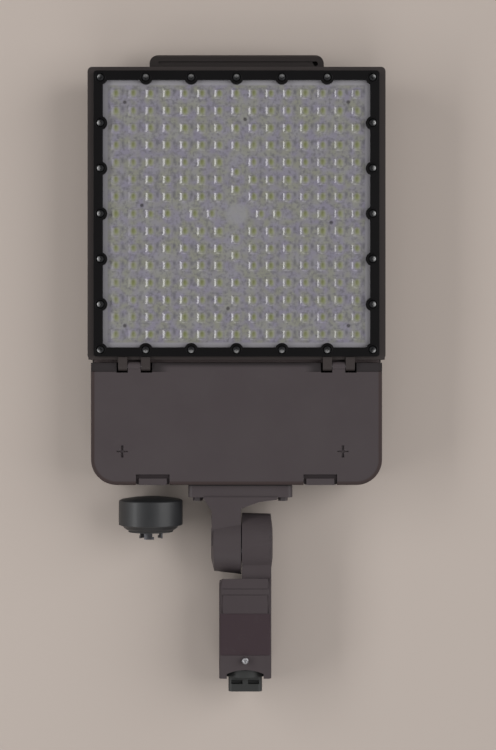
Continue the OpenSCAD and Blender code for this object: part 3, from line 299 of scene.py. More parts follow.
def makeLens(s):
    # clear moulded plate, slightly milky, with a plain border
    paint = Paint("lensPlastic")
    x, y, z = paint.axes()
    y = y - lensMiddle * mm
    pitch = ledPitch * mm
    edge = paint.maths("MAXIMUM", paint.maths("ABSOLUTE", x), paint.maths("ABSOLUTE", y))
    border = paint.between(edge, 0, 1, s["border"] * mm, (s["border"] + s["borderFade"]) * mm)
    cloud, tint, speck = makeHaze(paint)
    light = paint.noise(s["light"], 2, 0.5, shift=(0.4, 0.2, 0))
    base = paint.blend(tint, s["lilac"], s["olive"])
    base = paint.blend(paint.between(light, 0, 0.5, 0.45, 0.7), base, s["pale"])
    base = paint.blend(speck, base, s["speck"])

    def beside(place, offset):
        # how far the nearest painted shadow is along one axis, in mm; the 20 keeps FRACT above zero
        return paint.maths("FRACT", place / pitch + (20.5 - offset)) * ledPitch - ledPitch / 2

    # painted shadow: a darker spot beside each optic of the grid, on the side away from the left lamp
    near = ((beside(x, s["sideShade"][0]) / s["sideShadeWide"]) ** 2
            + (beside(y, s["sideShade"][1]) / s["sideShadeLong"]) ** 2) ** 0.5
    gridOnly = (paint.maths("ABSOLUTE", x) > pitch * 0.7) * (paint.maths("ABSOLUTE", y) > pitch * 0.7)
    base = paint.blend(paint.between(near, s["sideShadeShare"], 0, 0.2, 1.2) * gridOnly, base, s["speck"])
    # the plain border without optics takes a flat tone; its lightness is painted light that offsets the shade
    # the frame casts on it
    base = paint.blend(border * s["edgeShare"], base, s["edge"])
    away = (x ** 2 + y ** 2) ** 0.5
    disc = paint.between(away, s["discShare"], 0, (s["disc"] - s["discFade"]) * mm,
                         (s["disc"] + s["discFade"]) * mm)
    base = paint.blend(disc, base, s["pale"])
    # the heads of the board's screws show through
    nearest = 1.0
    for i, j in s["screws"]:
        nearest = paint.maths("MINIMUM", nearest, (x - i * pitch) ** 2 + (y - j * pitch) ** 2)
    head = paint.between(nearest ** 0.5, 1, 0, s["screwInner"] * mm, s["screwOuter"] * mm)
    base = paint.blend(head * 0.65, base, s["screwColour"])
    return paint.finish(base=base, rough=paint.between(light, 0.24, 0.34), alpha=s["alpha"] - head * 0.3,
                        ior=s["ior"], specular=s["specular"], normal=paint.bump(cloud, s["depth"]))


# chip and core: middle and squared half sizes, as shares of an optic; streakEnd in mm from the middle
opticLook = {"lilac": srgb(132, 128, 142), "olive": srgb(135, 135, 125), "shade": srgb(108, 106, 110),
             "chip": srgb(115, 119, 80), "chipPale": srgb(122, 124, 97), "chipPlace": (0.04, -0.02),
             "chipSize": (0.18, 0.32), "chipRange": (0.35, 1.25), "chipVary": 30,
             "core": srgb(93, 96, 64), "corePlace": (-0.03, 0.2), "coreRange": (0.04, 0.34), "coreShare": 0.7,
             "rough": 0.2, "dullRough": 0.5, "coat": 0.75, "streakEnd": (-142, -118),
             "ior": 1.5, "specular": 0.25}


def makeOptic(s):
    # each optic carries its own attribute: place over the LED, -1 to 1 both ways
    paint = Paint("opticPlastic")
    spot = paint.node("ShaderNodeAttribute", {"attribute_name": "spot"}).outputs["Vector"]
    x, y, z = paint.axes(spot)
    # the LED below shows from the middle to the right, darkest at its upper left
    (chipX, chipY), (chipWide, chipLong), (coreX, coreY) = s["chipPlace"], s["chipSize"], s["corePlace"]
    chip = ((x - chipX) ** 2 / chipWide + (y - chipY) ** 2 / chipLong) ** 0.5
    seen = paint.between(chip, 1, 0, *s["chipRange"])
    core = paint.maths("ABSOLUTE", x - coreX) + paint.maths("ABSOLUTE", y - coreY) * 0.5
    core = paint.between(core, 1, 0, *s["coreRange"])
    # painted shade on the right flank of each optic, the side away from the left lamp
    shade = paint.between(x, 0, 1, 0.34, 0.6) * paint.between(x, 1, 0, 0.7, 1.0) * 0.6
    vary = paint.noise(s["chipVary"], 1)
    olive = paint.blend(paint.between(vary, 0, 1, 0.35, 0.65), s["chipPale"], s["chip"])
    cloud, tint, speck = makeHaze(paint)
    base = paint.blend(tint, s["lilac"], s["olive"])
    base = paint.blend(speck, base, s["shade"])
    base = paint.blend(shade, base, s["shade"])
    base = paint.blend(seen, base, olive)
    base = paint.blend(seen * core * s["coreShare"], base, s["core"])
    # the strip of light to the left shows as a streak; it misses the two outermost columns
    start, end = s["streakEnd"]
    clear = paint.between(x, 1, 0, -0.15, 0.1) * paint.between(paint.axes()[0], 0.1, 1, start * mm, end * mm)
    return paint.finish(base=base, rough=paint.between(clear, s["dullRough"], s["rough"]), ior=s["ior"],
                        specular=s["specular"], coat=clear * s["coat"], coatRough=s["rough"])


# side: how far from the middle the outer screws lie, in mm; the rest are shares of a head
frameScrewLook = {"side": 172, "reach": 0.5, "inner": 0.05, "outer": 0.8, "stain": 2.5, "depth": 0.02,
                  "dark": (0.04, 0.04, 0.042), "darker": (0.02, 0.02, 0.021), "bright": (0.36, 0.36, 0.36),
                  "rough": 0.6, "glintRough": 0.5}


def makeFrameScrewMetal(s):
    # dark plating with a painted highlight on the side of each head that faces out of the frame
    paint = Paint("frameScrewPlate")
    spot = paint.node("ShaderNodeAttribute", {"attribute_name": "spot"}).outputs["Vector"]
    x, y, z = paint.axes(spot)
    worldX, worldY, worldZ = paint.axes()
    worldY = worldY - lensMiddle * mm
    side = s["side"] * mm
    outX = (worldX > side) - (worldX < -side)
    outY = (worldY > side) - (worldY < -side)
    away = ((x - outX * s["reach"]) ** 2 + (y - outY * s["reach"]) ** 2) ** 0.5
    paintedGlint = paint.between(away, 1, 0, s["inner"], s["outer"])
    stain = paint.noise(s["stain"], 3)
    base = paint.blend(paintedGlint, paint.blend(stain, s["dark"], s["darker"]), s["bright"])
    return paint.finish(base=base, metal=1.0, rough=paint.between(paintedGlint, s["rough"], s["glintRough"]),
                        normal=paint.bump(stain, s["depth"]))


materials = {
    "bronze": makePowderCoat("bronzePowderCoat", powderCoat),
    "head": makePowderCoat("headShadedPowderCoat", shadedHeadCoat),
    "black": makePowderCoat("satinBlackCoat", satinBlack),
    "door": makePowderCoat("doorPowderCoat", doorCoat),
    "latch": makePowderCoat("latchPowderCoat", latchCoat),
    "ledge": makePowderCoat("ledgeLitPowderCoat", ledgeLitCoat),
    "sleeve": makePowderCoat("sleeveCoat", sleeveCoat),
    "zinc": makeMetal("zincPlate", zincPlate),
    "dull": makeMetal("dullPlate", dullPlate),
    "screw": makeFrameScrewMetal(frameScrewLook),
    "steel": makeMetal("groundSteel", steelPin),
    "brass": makeMetal("brassContact", brassContact),
    "can": makeMetal("driverCan", canMetal),
    "blade": makeMetal("bladeMetal", bladeMetal),
    "rubber": makePlastic("blackRubber", rubber),
    "plug": makePlastic("plugPlastic", plugPlastic),
    "dark": makePlastic("darkPlastic", darkPlastic),
    "cap": makePlastic("capPlastic", capPlastic),
    "white": makePlastic("whitePlastic", whitePlastic),
    "lead": makePlastic("redLead", redLead),
    "green": makePlastic("greenPaint", greenPaint),
    "phosphor": makePlastic("phosphor", phosphor),
    "darkHead": makePlastic("darkScrewHead", darkHead),
    "board": makeBoard(solderMask),
    "lens": makeLens(lens),
    "optic": makeOptic(opticLook),
}
print("materials made:", len(materials))


def insetOutline(outline, d):
    # moves a counter-clockwise outline inwards by d, corners mitred
    p = np.array(outline, float)
    before, after = p - np.roll(p, 1, 0), np.roll(p, -1, 0) - p
    n1 = np.stack([before[:, 1], -before[:, 0]], 1) / np.linalg.norm(before, axis=1)[:, None]
    n2 = np.stack([after[:, 1], -after[:, 0]], 1) / np.linalg.norm(after, axis=1)[:, None]
    share = np.maximum(1 + (n1 * n2).sum(1), 0.2)  # keeps very sharp corners short
    return p - d * (n1 + n2) / share[:, None]


def roundRect(w, l, r, cx=0.0, cy=0.0, steps=8):
    points = []
    for sx, sy, start in ((1, -1, -90), (1, 1, 0), (-1, 1, 90), (-1, -1, 180)):
        for i in range(steps + 1):
            a = math.radians(start + 90 * i / steps)
            points.append((cx + sx * (w / 2 - r) + r * math.cos(a),
                           cy + sy * (l / 2 - r) + r * math.sin(a)))
    return points


class Shape:
    # points and faces in mm, which become a mesh at the end
    def __init__(self):
        self.points, self.faces = [], []

    def rings(self, rings, place=None):
        # lists of equally many points, each joined to the next, with both ends closed
        start, n = len(self.points), len(rings[0])
        for ring in rings:
            for p in ring:
                v = Vector(p)
                self.points.append(tuple(place @ v if place else v))
        for k in range(len(rings) - 1):
            low, high = start + k * n, start + (k + 1) * n
            for i in range(n):
                j = (i + 1) % n
                self.faces.append((low + i, low + j, high + j, high + i))
        self.faces.append(tuple(start + i for i in reversed(range(n))))
        self.faces.append(tuple(start + (len(rings) - 1) * n + i for i in range(n)))
        return self

    def prism(self, outline, z0, z1, edge=0.0, steps=3):
        # an outline raised from z0 to z1, its upper and lower edge rounded
        def ring(d, z):
            return [(x, y, z) for x, y in (insetOutline(outline, d) if edge else outline)]

        turns = [math.pi / 2 * i / steps for i in range(steps + 1)] if edge else [0]
        lower = [ring(edge * (1 - math.sin(a)), z0 + edge * (1 - math.cos(a))) for a in turns]
        upper = [ring(edge * (1 - math.cos(a)), z1 - edge + edge * math.sin(a)) for a in turns]
        return self.rings(lower + upper)

    def spin(self, profile, place=None, steps=48):
        # a profile of (radius, height) turned round z; it may start and end on the axis
        rings = []
        for r, z in profile:
            r = max(r, 1e-4)  # a ring on the axis is merged to one point later
            rings.append([(r * math.cos(2 * math.pi * i / steps), r * math.sin(2 * math.pi * i / steps), z)
                          for i in range(steps)])
        return self.rings(rings, place)

    def box(self, low, high, edge=0.0):
        (x0, y0, z0), (x1, y1, z1) = low, high
        outline = [(x0, y0), (x1, y0), (x1, y1), (x0, y1)]
        if edge:
            outline = roundRect(x1 - x0, y1 - y0, edge * 1.2, (x0 + x1) / 2, (y0 + y1) / 2, 3)
        return self.prism(outline, z0, z1, edge)


def tidyMesh(mesh, near=mergeMade):
    bm = bmesh.new()
    bm.from_mesh(mesh)
    bmesh.ops.remove_doubles(bm, verts=bm.verts, dist=near)
    bmesh.ops.dissolve_degenerate(bm, dist=near, edges=bm.edges)
    bmesh.ops.recalc_face_normals(bm, faces=bm.faces)
    bm.to_mesh(mesh)
    bm.free()


def newMesh(name, shape):
    mesh = bpy.data.meshes.new(name)
    mesh.from_pydata([tuple(c * mm for c in p) for p in shape.points], [], shape.faces)
    tidyMesh(mesh)
    return mesh


def newObject(name, mesh):
    made = bpy.data.objects.new(name, mesh)
    bpy.context.scene.collection.objects.link(made)
    return made


def settle(made):
    # turns the evaluated result into the object's own plain mesh
    bpy.context.view_layer.update()
    mesh = bpy.data.meshes.new_from_object(made.evaluated_get(bpy.context.evaluated_depsgraph_get()))
    made.modifiers.clear()
    made.data = mesh
    return made


def combine(base, others, operation="DIFFERENCE"):
    for other in others:
        cutter = newObject("cutter", newMesh("cutter", other) if isinstance(other, Shape) else other)
        step = base.modifiers.new("cut", "BOOLEAN")
        step.operation, step.solver, step.object = operation, "EXACT", cutter
        settle(base)
        bpy.data.objects.remove(cutter)
    tidyMesh(base.data, mergeCut)
    return base


def soften(made, width, angle=32, segments=2):
    edge = made.modifiers.new("edge", "BEVEL")
    edge.width, edge.segments, edge.limit_method = width * mm, segments, "ANGLE"
    edge.angle_limit, edge.harden_normals = math.radians(angle), False
    settle(made)
    tidyMesh(made.data, mergeSoft)
    return made


def finishPiece(made, body, material, replaced=(), sharp=smoothAngle):
    mesh = made.data
    mesh.materials.clear()
    mesh.materials.append(materials[material])
    mesh.shade_smooth()
    mesh.set_sharp_from_angle(angle=math.radians(sharp))
    weigh = made.modifiers.new("weigh", "WEIGHTED_NORMAL")
    weigh.keep_sharp = True
    settle(made)
    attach(made, body)
    if replaced:
        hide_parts(*replaced)
    return made


def makePiece(name, shape, body, material, replaced=(), sharp=smoothAngle):
    return finishPiece(newObject(name, newMesh(name, shape)), body, material, replaced, sharp)


def cadCopy(node, name, flat=0.6):
    # a merged copy of a CAD node; faces that turn less than flat, in degrees, are whole again
    mesh = cadNodes[node].data.copy()
    mesh.name = name
    bm = bmesh.new()
    bm.from_mesh(mesh)
    bmesh.ops.remove_doubles(bm, verts=bm.verts, dist=mergeCut)
    bmesh.ops.dissolve_limit(bm, angle_limit=math.radians(flat), verts=bm.verts, edges=bm.edges)
    bm.to_mesh(mesh)
    bm.free()
    return newObject(name, mesh)


def islands(node):
    # the box of each loose part of a CAD node, in mm: low corner, high corner
    bm = bmesh.new()
    bm.from_mesh(cadNodes[node].data)
    bmesh.ops.remove_doubles(bm, verts=bm.verts, dist=mergeCut)
    left, found = set(bm.verts), []
    while left:
        edge, part = [left.pop()], []
        while edge:
            v = edge.pop()
            part.append(v.co / mm)
            for link in v.link_edges:
                other = link.other_vert(v)
                if other in left:
                    left.remove(other)
                    edge.append(other)
        found.append((np.min(part, axis=0), np.max(part, axis=0)))
    bm.free()
    return sorted(found, key=lambda box: (round(box[0][0]), round(box[0][1])))


class Tree:
    # a geometry tree under construction, with named inputs
    def __init__(self, name, inputs):
        self.tree = bpy.data.node_groups.new(name, "GeometryNodeTree")
        face = self.tree.interface
        for key, kind in inputs.items():
            face.new_socket(key, in_out="INPUT", socket_type="NodeSocket" + kind)
        face.new_socket("Geometry", in_out="OUTPUT", socket_type="NodeSocketGeometry")
        self.link = self.tree.links.new
        self.get = self.tree.nodes.new("NodeGroupInput").outputs
        self.end = self.tree.nodes.new("NodeGroupOutput").inputs["Geometry"]

    def add(self, kind, values=None, **settings):
        made = self.tree.nodes.new(kind)
        for key, value in settings.items():
            setattr(made, key, value)
        for key, value in (values or {}).items():
            if isinstance(value, bpy.types.NodeSocket):
                self.link(value, made.inputs[key])
            else:
                made.inputs[key].default_value = value
        return made

    def maths(self, operation, *values):
        return self.add("ShaderNodeMath", dict(enumerate(values)), operation=operation).outputs[0]

    def finish(self, geometry):
        real = self.add("GeometryNodeRealizeInstances", {"Geometry": geometry}).outputs[0]
        dressed = self.add("GeometryNodeSetMaterial", {"Geometry": real, "Material": self.get["Finish"]})
        self.link(dressed.outputs[0], self.end)
        return self.tree


def scatterTree():
    # sets a piece at every point of its host
    tree = Tree("setAtPoints", {"Geometry": "Geometry", "Piece": "Object", "Size": "Float",
                                "Finish": "Material"})
    piece = tree.add("GeometryNodeObjectInfo", {"Object": tree.get["Piece"]}).outputs["Geometry"]
    return tree.finish(tree.add("GeometryNodeInstanceOnPoints", {
        "Points": tree.get["Geometry"], "Instance": piece, "Scale": tree.get["Size"]}).outputs[0])


pointTree = scatterTree()


def setInput(modifier, name, value):
    for item in modifier.node_group.interface.items_tree:
        if item.in_out == "INPUT" and item.name == name:
            modifier[item.identifier] = value


def scatter(name, points, piece, body, material, replaced=(), sharp=smoothAngle):
    # points in mm; the piece is taken away again afterwards
    host = bpy.data.meshes.new(name)
    host.from_pydata([tuple(c * mm for c in p) for p in points], [], [])
    made = newObject(name, host)
    step = made.modifiers.new("setAtPoints", "NODES")
    step.node_group = pointTree
    for key, value in (("Piece", piece), ("Size", 1.0), ("Finish", materials[material])):
        setInput(step, key, value)
    settle(made)
    bpy.data.objects.remove(piece)
    return finishPiece(made, body, material, replaced, sharp)


# a lip stands round each screw of the lens frame, with a recess for its head
lensFrame = {"centreY": lensMiddle, "side": 378, "band": 12, "low": 77, "top": 83.4, "edge": 1.1, "corner": 4,
             "screws": 7, "screwEdge": 9, "boss": 8.9, "lip": 7.4, "lipTop": 84, "lipRound": 0.6,
             "recess": 5.6, "recessFloor": 81.0, "recessRound": 0.5}


def bossedLoop(half, bossRadius, s, steps=10):
    # a square loop that steps inwards round each screw boss, counter-clockwise, centred on 0
    span = s["side"] / 2 - s["screwEdge"]
    pitch = 2 * span / (s["screws"] - 1)
    deep = span - half
    tilt = math.asin(deep / bossRadius)
    corner = math.acos(min(1, deep / bossRadius))
    side = []
    for k in range(s["screws"] - 1):
        x = -span + k * pitch
        if k:
            side += [(x - bossRadius * math.cos(a), -span + bossRadius * math.sin(a))
                     for a in np.linspace(tilt, math.pi - tilt, steps + 1)]
        else:
            side += [(x + bossRadius * math.cos(a), -span + bossRadius * math.sin(a))
                     for a in np.linspace(corner, math.pi / 2 - corner, steps + 1)]
    loop = []
    for quarter in range(4):
        c, n = round(math.cos(quarter * math.pi / 2)), round(math.sin(quarter * math.pi / 2))
        loop += [(c * x - n * y, n * x + c * y) for x, y in side]
    return loop


def frameTree():
    # a square ring with a round boss at every screw; lengths in m
    tree = Tree("bossedFrame", {
        "Side": "Float", "Band": "Float", "Corner": "Float", "Low": "Float", "Thick": "Float",
        "Middle": "Float", "Screw Edge": "Float", "Screw Count": "Int", "Boss": "Float",
        "Finish": "Material"})
    add, get, maths = tree.add, tree.get, tree.maths
    through, bossThrough = 0.002, 0.02  # what the cutters stand out, at each end and in all
    bossSides, cornerSteps = 48, 8

    def square(margin=None, corner=None):
        # the outer square, or one that lies a margin inside it
        side = get["Side"] if margin is None else maths("MULTIPLY_ADD", margin, -2, get["Side"])
        loop = add("GeometryNodeCurvePrimitiveQuadrilateral", {0: side, 1: side}).outputs[0]
        if corner is None:
            return loop
        return add("GeometryNodeFilletCurve", {"Curve": loop, "Radius": corner, "Count": cornerSteps,
                                               "Limit Radius": True}, mode="POLY").outputs[0]

    def slab(loop, extra):
        # a filled loop raised to a closed block that stands extra further out at both ends
        height = maths("ADD", get["Thick"], 2 * extra)
        low = maths("SUBTRACT", get["Low"], extra)
        place = add("ShaderNodeCombineXYZ", {"Y": get["Middle"], "Z": low}).outputs[0]
        filled = add("GeometryNodeFillCurve", {"Curve": loop}, mode="NGONS").outputs[0]
        raised = add("GeometryNodeExtrudeMesh", {"Mesh": filled, "Offset Scale": height}).outputs["Mesh"]
        both = add("GeometryNodeJoinGeometry")
        tree.link(add("GeometryNodeFlipFaces", {"Mesh": filled}).outputs[0], both.inputs[0])
        tree.link(raised, both.inputs[0])
        whole = add("GeometryNodeMergeByDistance", {"Geometry": both.outputs[0], "Distance": mergeMade})
        return add("GeometryNodeTransform", {"Geometry": whole.outputs[0], "Translation": place}).outputs[0]

    def cut(base, cutter):
        return add("GeometryNodeMeshBoolean", {"Mesh 1": base, "Mesh 2": cutter},
                   operation="DIFFERENCE").outputs["Mesh"]

    outer = slab(square(corner=get["Corner"]), 0)
    inner = slab(square(get["Band"]), through)
    count = maths("MULTIPLY_ADD", get["Screw Count"], 4.0, -4.0)
    places = add("GeometryNodeResampleCurve", {"Curve": square(get["Screw Edge"]), "Count": count},
                 mode="COUNT").outputs[0]
    tall = maths("ADD", get["Thick"], bossThrough)
    boss = add("GeometryNodeMeshCylinder", {"Vertices": bossSides, "Radius": get["Boss"], "Depth": tall})
    bosses = add("GeometryNodeInstanceOnPoints", {"Points": places, "Instance": boss.outputs["Mesh"]})
    halfUp = maths("MULTIPLY_ADD", get["Thick"], 0.5, get["Low"])
    up = add("ShaderNodeCombineXYZ", {"Y": get["Middle"], "Z": halfUp}).outputs[0]
    raised = add("GeometryNodeTransform", {"Geometry": bosses.outputs[0], "Translation": up}).outputs[0]
    real = add("GeometryNodeRealizeInstances", {"Geometry": raised}).outputs[0]
    # the opening, less its bosses, is cut from the outer block
    return tree.finish(cut(outer, cut(inner, real)))


def frameScrewPlaces(s):
    span = s["side"] / 2 - s["screwEdge"]
    marks = np.linspace(-span, span, s["screws"])
    return [(float(x), s["centreY"] + float(y)) for x in marks for y in marks
            if abs(x) > span - 1 or abs(y) > span - 1]


def buildLensFrame(s):
    made = newObject("lensFrame", bpy.data.meshes.new("lensFrame"))
    step = made.modifiers.new("bossedFrame", "NODES")
    step.node_group = frameTree()
    lengths = {"Side": s["side"], "Band": s["band"], "Corner": s["corner"], "Low": s["low"],
               "Thick": s["top"] - s["low"], "Middle": s["centreY"], "Screw Edge": s["screwEdge"],
               "Boss": s["boss"]}
    for name, value in lengths.items():
        setInput(step, name, value * mm)
    setInput(step, "Screw Count", s["screws"])
    setInput(step, "Finish", materials["black"])
    settle(made)
    tidyMesh(made.data, mergeCut)
    soften(made, s["edge"], 40, 3)
    lip, lipTop, recess, floor, flare = s["lip"], s["lipTop"], s["recess"], s["recessFloor"], s["recessRound"]
    lipSide = [(0, s["top"] - 2), (lip, s["top"] - 2), (lip, s["top"]), (lip - 0.25, lipTop - 0.2),
               (lip - s["lipRound"], lipTop), (0, lipTop)]
    holeSide = [(0, floor), (recess, floor), (recess, lipTop - 0.4), (recess + flare, lipTop + 0.1),
                (0, lipTop + 0.1)]
    lips, holes = Shape(), Shape()
    for x, y in frameScrewPlaces(s):
        place = Matrix.Translation((x, y, 0))
        lips.spin(lipSide, place, 32)
        holes.spin(holeSide, place, 32)
    combine(made, [lips], "UNION")
    combine(made, [holes])
    return finishPiece(made, "head", "black", ["lens_frame"])


def markSpots(made, wide, long):
    # keeps each point's own place in an attribute, -1 to 1 over the piece
    spot = made.data.attributes.new("spot", "FLOAT_VECTOR", "POINT")
    for i, v in enumerate(made.data.vertices):
        spot.data[i].vector = (v.co.x / (wide * mm), v.co.y / (long * mm), 0)
    return made


# a pan head's outline, as shares of its radius and height
panHead = ((0.97, 0), (1, 0.25), (0.96, 0.55), (0.82, 0.82), (0.55, 0.97), (0, 1))


def makeScrew(name, radius, height, bore, depth, cross, arm=0.2, sink=0.42):
    # pan head with a cross recess and a short shank, its seat at z = 0
    shank = [(0, -depth), (bore * 0.8, -depth), (bore, -depth + 0.6), (bore, 0)]
    shape = Shape().spin(shank + [(radius * r, height * h) for r, h in panHead], steps=28)
    made = newObject(name, newMesh(name, shape))
    low, high, thin = height * sink, height + 1, cross * arm
    arms = [Shape().box((-cross, -thin, low), (cross, thin, high)),
            Shape().box((-thin, -cross, low), (thin, cross, high))]
    return markSpots(combine(made, arms), radius, radius)


buildLensFrame(lensFrame)
frameScrew = {"radius": 5.0, "height": 2.6, "bore": 2.0, "depth": 4, "cross": 2.6}
scatter("frameScrews", [(x, y, lensFrame["recessFloor"]) for x, y in frameScrewPlaces(lensFrame)],
        makeScrew("frameScrew", **frameScrew), "head", "screw", ["frame_screws"])
print("lens frame made")


lensPlate = {"half": 180, "notch": 4.0, "low": 74, "top": 77, "disc": 13, "discHeight": 0.5}
# an optic's cuts across and along are shares of its half width and half length
optic = {"pitch": ledPitch, "count": 15, "half": 7.2, "halfY": 7.9, "height": 2.8, "arch": 1.75, "flat": 0.44,
         "spot": 9.6, "start": 0.12, "sink": 0.4,
         "across": (-1, -0.93, -0.84, -0.74, -0.64, -0.54, -0.42, -0.22, 0.1, 0.4, 0.7, 1),
         "along": (-1, -0.87, -0.75, -0.63, -0.5, 0.5, 0.63, 0.75, 0.87, 1)}


def opticPlaces(s):
    # a grid in quarters, parted by a cross of single rows that leaves room for the disc
    half = (s["count"] - 1) // 2
    arm = [1.43, 2.43] + list(range(4, half + 1))
    grid = [(i, j) for i in range(-half, half + 1) for j in range(-half, half + 1) if i and j]
    grid += [(k * sign, 0) for k in arm for sign in (-1, 1)]
    grid += [(0, k * sign) for k in arm for sign in (-1, 1)]
    return [(i * s["pitch"], lensMiddle + j * s["pitch"]) for i, j in grid]


def makeOpticShape(s):
    # a pillow arched from side to side and straight along; its foot starts just below the plate's face
    m, n, half, halfY = len(s["across"]) - 1, len(s["along"]) - 1, s["half"], s["halfY"]
    shape = Shape()
    for y in s["along"]:
        end = max(0, abs(y) - s["flat"]) / (1 - s["flat"])
        for x in s["across"]:
            z = s["height"] * (1 - abs(x) ** s["arch"]) * math.cos(math.pi / 2 * end) ** 2 - s["start"]
            shape.points.append((x * half, y * halfY, z))

    def index(i, j):
        return j * (m + 1) + i

    shape.faces += [(index(i, j), index(i + 1, j), index(i + 1, j + 1), index(i, j + 1))
                    for j in range(n) for i in range(m)]
    rim = [index(i, 0) for i in range(m)] + [index(m, j) for j in range(n)]
    rim += [index(i, n) for i in range(m, 0, -1)] + [index(0, j) for j in range(n, 0, -1)]
    start = len(shape.points)
    shape.points += [(*shape.points[k][:2], -s["sink"]) for k in rim]
    for k in range(len(rim)):
        after = (k + 1) % len(rim)
        shape.faces.append((rim[after], rim[k], start + k, start + after))
    shape.faces.append(tuple(start + k for k in reversed(range(len(rim)))))
    return markSpots(newObject("optic", newMesh("optic", shape)), s["spot"], s["spot"])


def buildLensPlate(s):
    # the outline stays clear of the bosses; a smooth disc is raised in the middle
    outline = [(x, y + lensMiddle) for x, y in bossedLoop(s["half"] - 0.01, s["notch"], lensFrame, 6)]
    shape = Shape().prism(outline, s["low"], s["top"])
    disc, top, high = s["disc"], s["top"], s["discHeight"]
    shape.spin([(0, top - 0.5), (disc, top - 0.5), (disc, top), (disc - 1.6, top + high * 0.7),
                (disc - 3.6, top + high), (0, top + high)], Matrix.Translation((0, lensMiddle, 0)), 48)
    return makePiece("lensPlate", shape, "head", "lens", ["lens_plate"])


buildLensPlate(lensPlate)
scatter("optics", [(x, y, lensPlate["top"]) for x, y in opticPlaces(optic)], makeOpticShape(optic),
        "head", "optic", sharp=60)
print("lens and optics made")


def ease(t):
    t = min(1, max(0, t))
    return t * t * (3 - 2 * t)


def buildDoor(s):
    # the hinge side rolls down into the gap, and beside the hinges the roll turns into a low step
    made = cadCopy("door", "driverDoor")
    top, front = s["top"], s["front"]
    # a plain cross is sunk round each captive screw
    low, high = top - s["crossDeep"], top + 1
    for corner, far in islands("door_screws"):
        x, y = (corner[0] + far[0]) / 2, (corner[1] + far[1]) / 2
        combine(made, [Shape().box((x - wide, y - tall, low), (x + wide, y + tall, high))
                       for wide, tall in ((s["cross"], s["armThin"]), (s["arm"], s["crossTall"]))])
    soften(made, s["edge"], 40)
    bm = bmesh.new()
    bm.from_mesh(made.data)
    planes = [((0, front - d, 0), (0, 1, 0)) for d in s["steps"]]
    planes += [((side * x, 0, 0), (1, 0, 0)) for x in s["fade"] for side in (-1, 1)]
    for place, across in planes:
        bmesh.ops.bisect_plane(bm, geom=bm.verts[:] + bm.edges[:] + bm.faces[:], dist=mergeMade,
                               plane_co=[c * mm for c in place], plane_no=across)
    for v in bm.verts:
        x, y, z = v.co / mm
        x = abs(x)
        if z < top - s["skin"] or abs(x - s["hinge"]) < s["tongue"]:
            continue
        share = ease((x - s["fade"][0]) / (s["fade"][-1] - s["fade"][0]))
        inwards = front - y
        rolled = s["drop"] * max(0, 1 - inwards / s["roll"]) ** s["power"]
        stepped = s["stepDrop"] * ease((s["stepFar"] - inwards) / (s["stepFar"] - s["stepNear"]))
        stepped += s["endDrop"] * max(0, 1 - inwards / s["endRoll"]) ** s["power"]
        v.co.z -= (rolled + share * (stepped - rolled)) * (z - top + s["thick"]) / s["thick"] * mm
    bm.to_mesh(made.data)
    bm.free()
    return finishPiece(made, "door", "door", ["door"])


def buildLatch(side, s):
    # a pillow-shaped head stands in the door's notch; a low skirt fills the gap round it
    made = cadCopy("latch_" + side, "latch" + side.capitalize())
    low, high = islands("latch_" + side)[0]
    middle, half = (low[0] + high[0]) / 2, (high[0] - low[0]) / 2
    far = low[1] + s["long"]
    for v in made.data.vertices:
        x, y, z = v.co / mm
        if z > high[2] - s["head"]:
            if abs(x - middle) > half - s["sideFace"]:
                v.co.x = (middle + math.copysign(half - s["narrow"], x - middle)) * mm
            if y > far - s["farFace"]:
                v.co.y -= s["short"] * mm
    reach, start, top = s["reach"], s["start"], high[2] - s["deep"]
    outline = roundRect(2 * (half + reach), s["long"] + reach - start, s["corner"],
                        middle, low[1] + (s["long"] + reach + start) / 2, 5)
    skirt = Shape().prism(outline, top - s["thick"], top)
    soften(made, s["edge"], 40, 3)
    combine(made, [skirt], "UNION")
    return finishPiece(made, "latch_" + side, "latch", ["latch_" + side])


driverDoor = {"top": 78, "front": 11.6, "thick": 4, "skin": 1, "hinge": 135.5, "tongue": 12, "edge": 0.4,
              "roll": 7.6, "drop": 2.7, "power": 1.6, "stepFar": 12.6, "stepNear": 10.8, "stepDrop": 1.9,
              "endRoll": 4, "endDrop": 0.9, "fade": (86, 91, 96, 101, 106),
              "steps": (12.6, 12, 11.4, 10.8, 8, 7, 6, 5, 4, 3.2, 2.4, 1.6, 0.8),
              "cross": 7.4, "crossTall": 8, "arm": 1.7, "armThin": 0.8, "crossDeep": 2.2}
latch = {"reach": 1.85, "start": 0.4, "long": 11.8, "corner": 2.2, "deep": 3.0, "thick": 0.9, "edge": 1.2,
         "head": 6, "narrow": 1.6, "short": 3.2, "sideFace": 0.01, "farFace": 0.5}
buildDoor(driverDoor)
for side in ("left", "right"):
    buildLatch(side, latch)
print("door and latches made")


def scatterScrews(node, name, screw, seat, body, material):
    places = [((low[0] + high[0]) / 2, (low[1] + high[1]) / 2, high[2] - seat) for low, high in islands(node)]
    return scatter(name, places, makeScrew(name + "Piece", **screw), body, material, [node])


# sizes of a screw of each kind, in mm; the cross of the door's goes through the head
doorScrew = {"radius": 4.6, "height": 0.5, "bore": 3.2, "depth": 8, "cross": 4.5, "arm": 0.3, "sink": -4}
driverScrew = {"radius": 4, "height": 2.4, "bore": 1.8, "depth": 3, "cross": 2.2}
boardScrew = {"radius": 2.8, "height": 1.4, "bore": 1.4, "depth": 3, "cross": 1.6}
scatterScrews("door_screws", "doorScrews", doorScrew, 1.8, "door", "bronze")
scatterScrews("driver_screws", "driverScrews", driverScrew, driverScrew["height"],
              "head", "zinc")
scatterScrews("board_screws", "boardScrews", boardScrew, boardScrew["height"],
              "head", "darkHead")


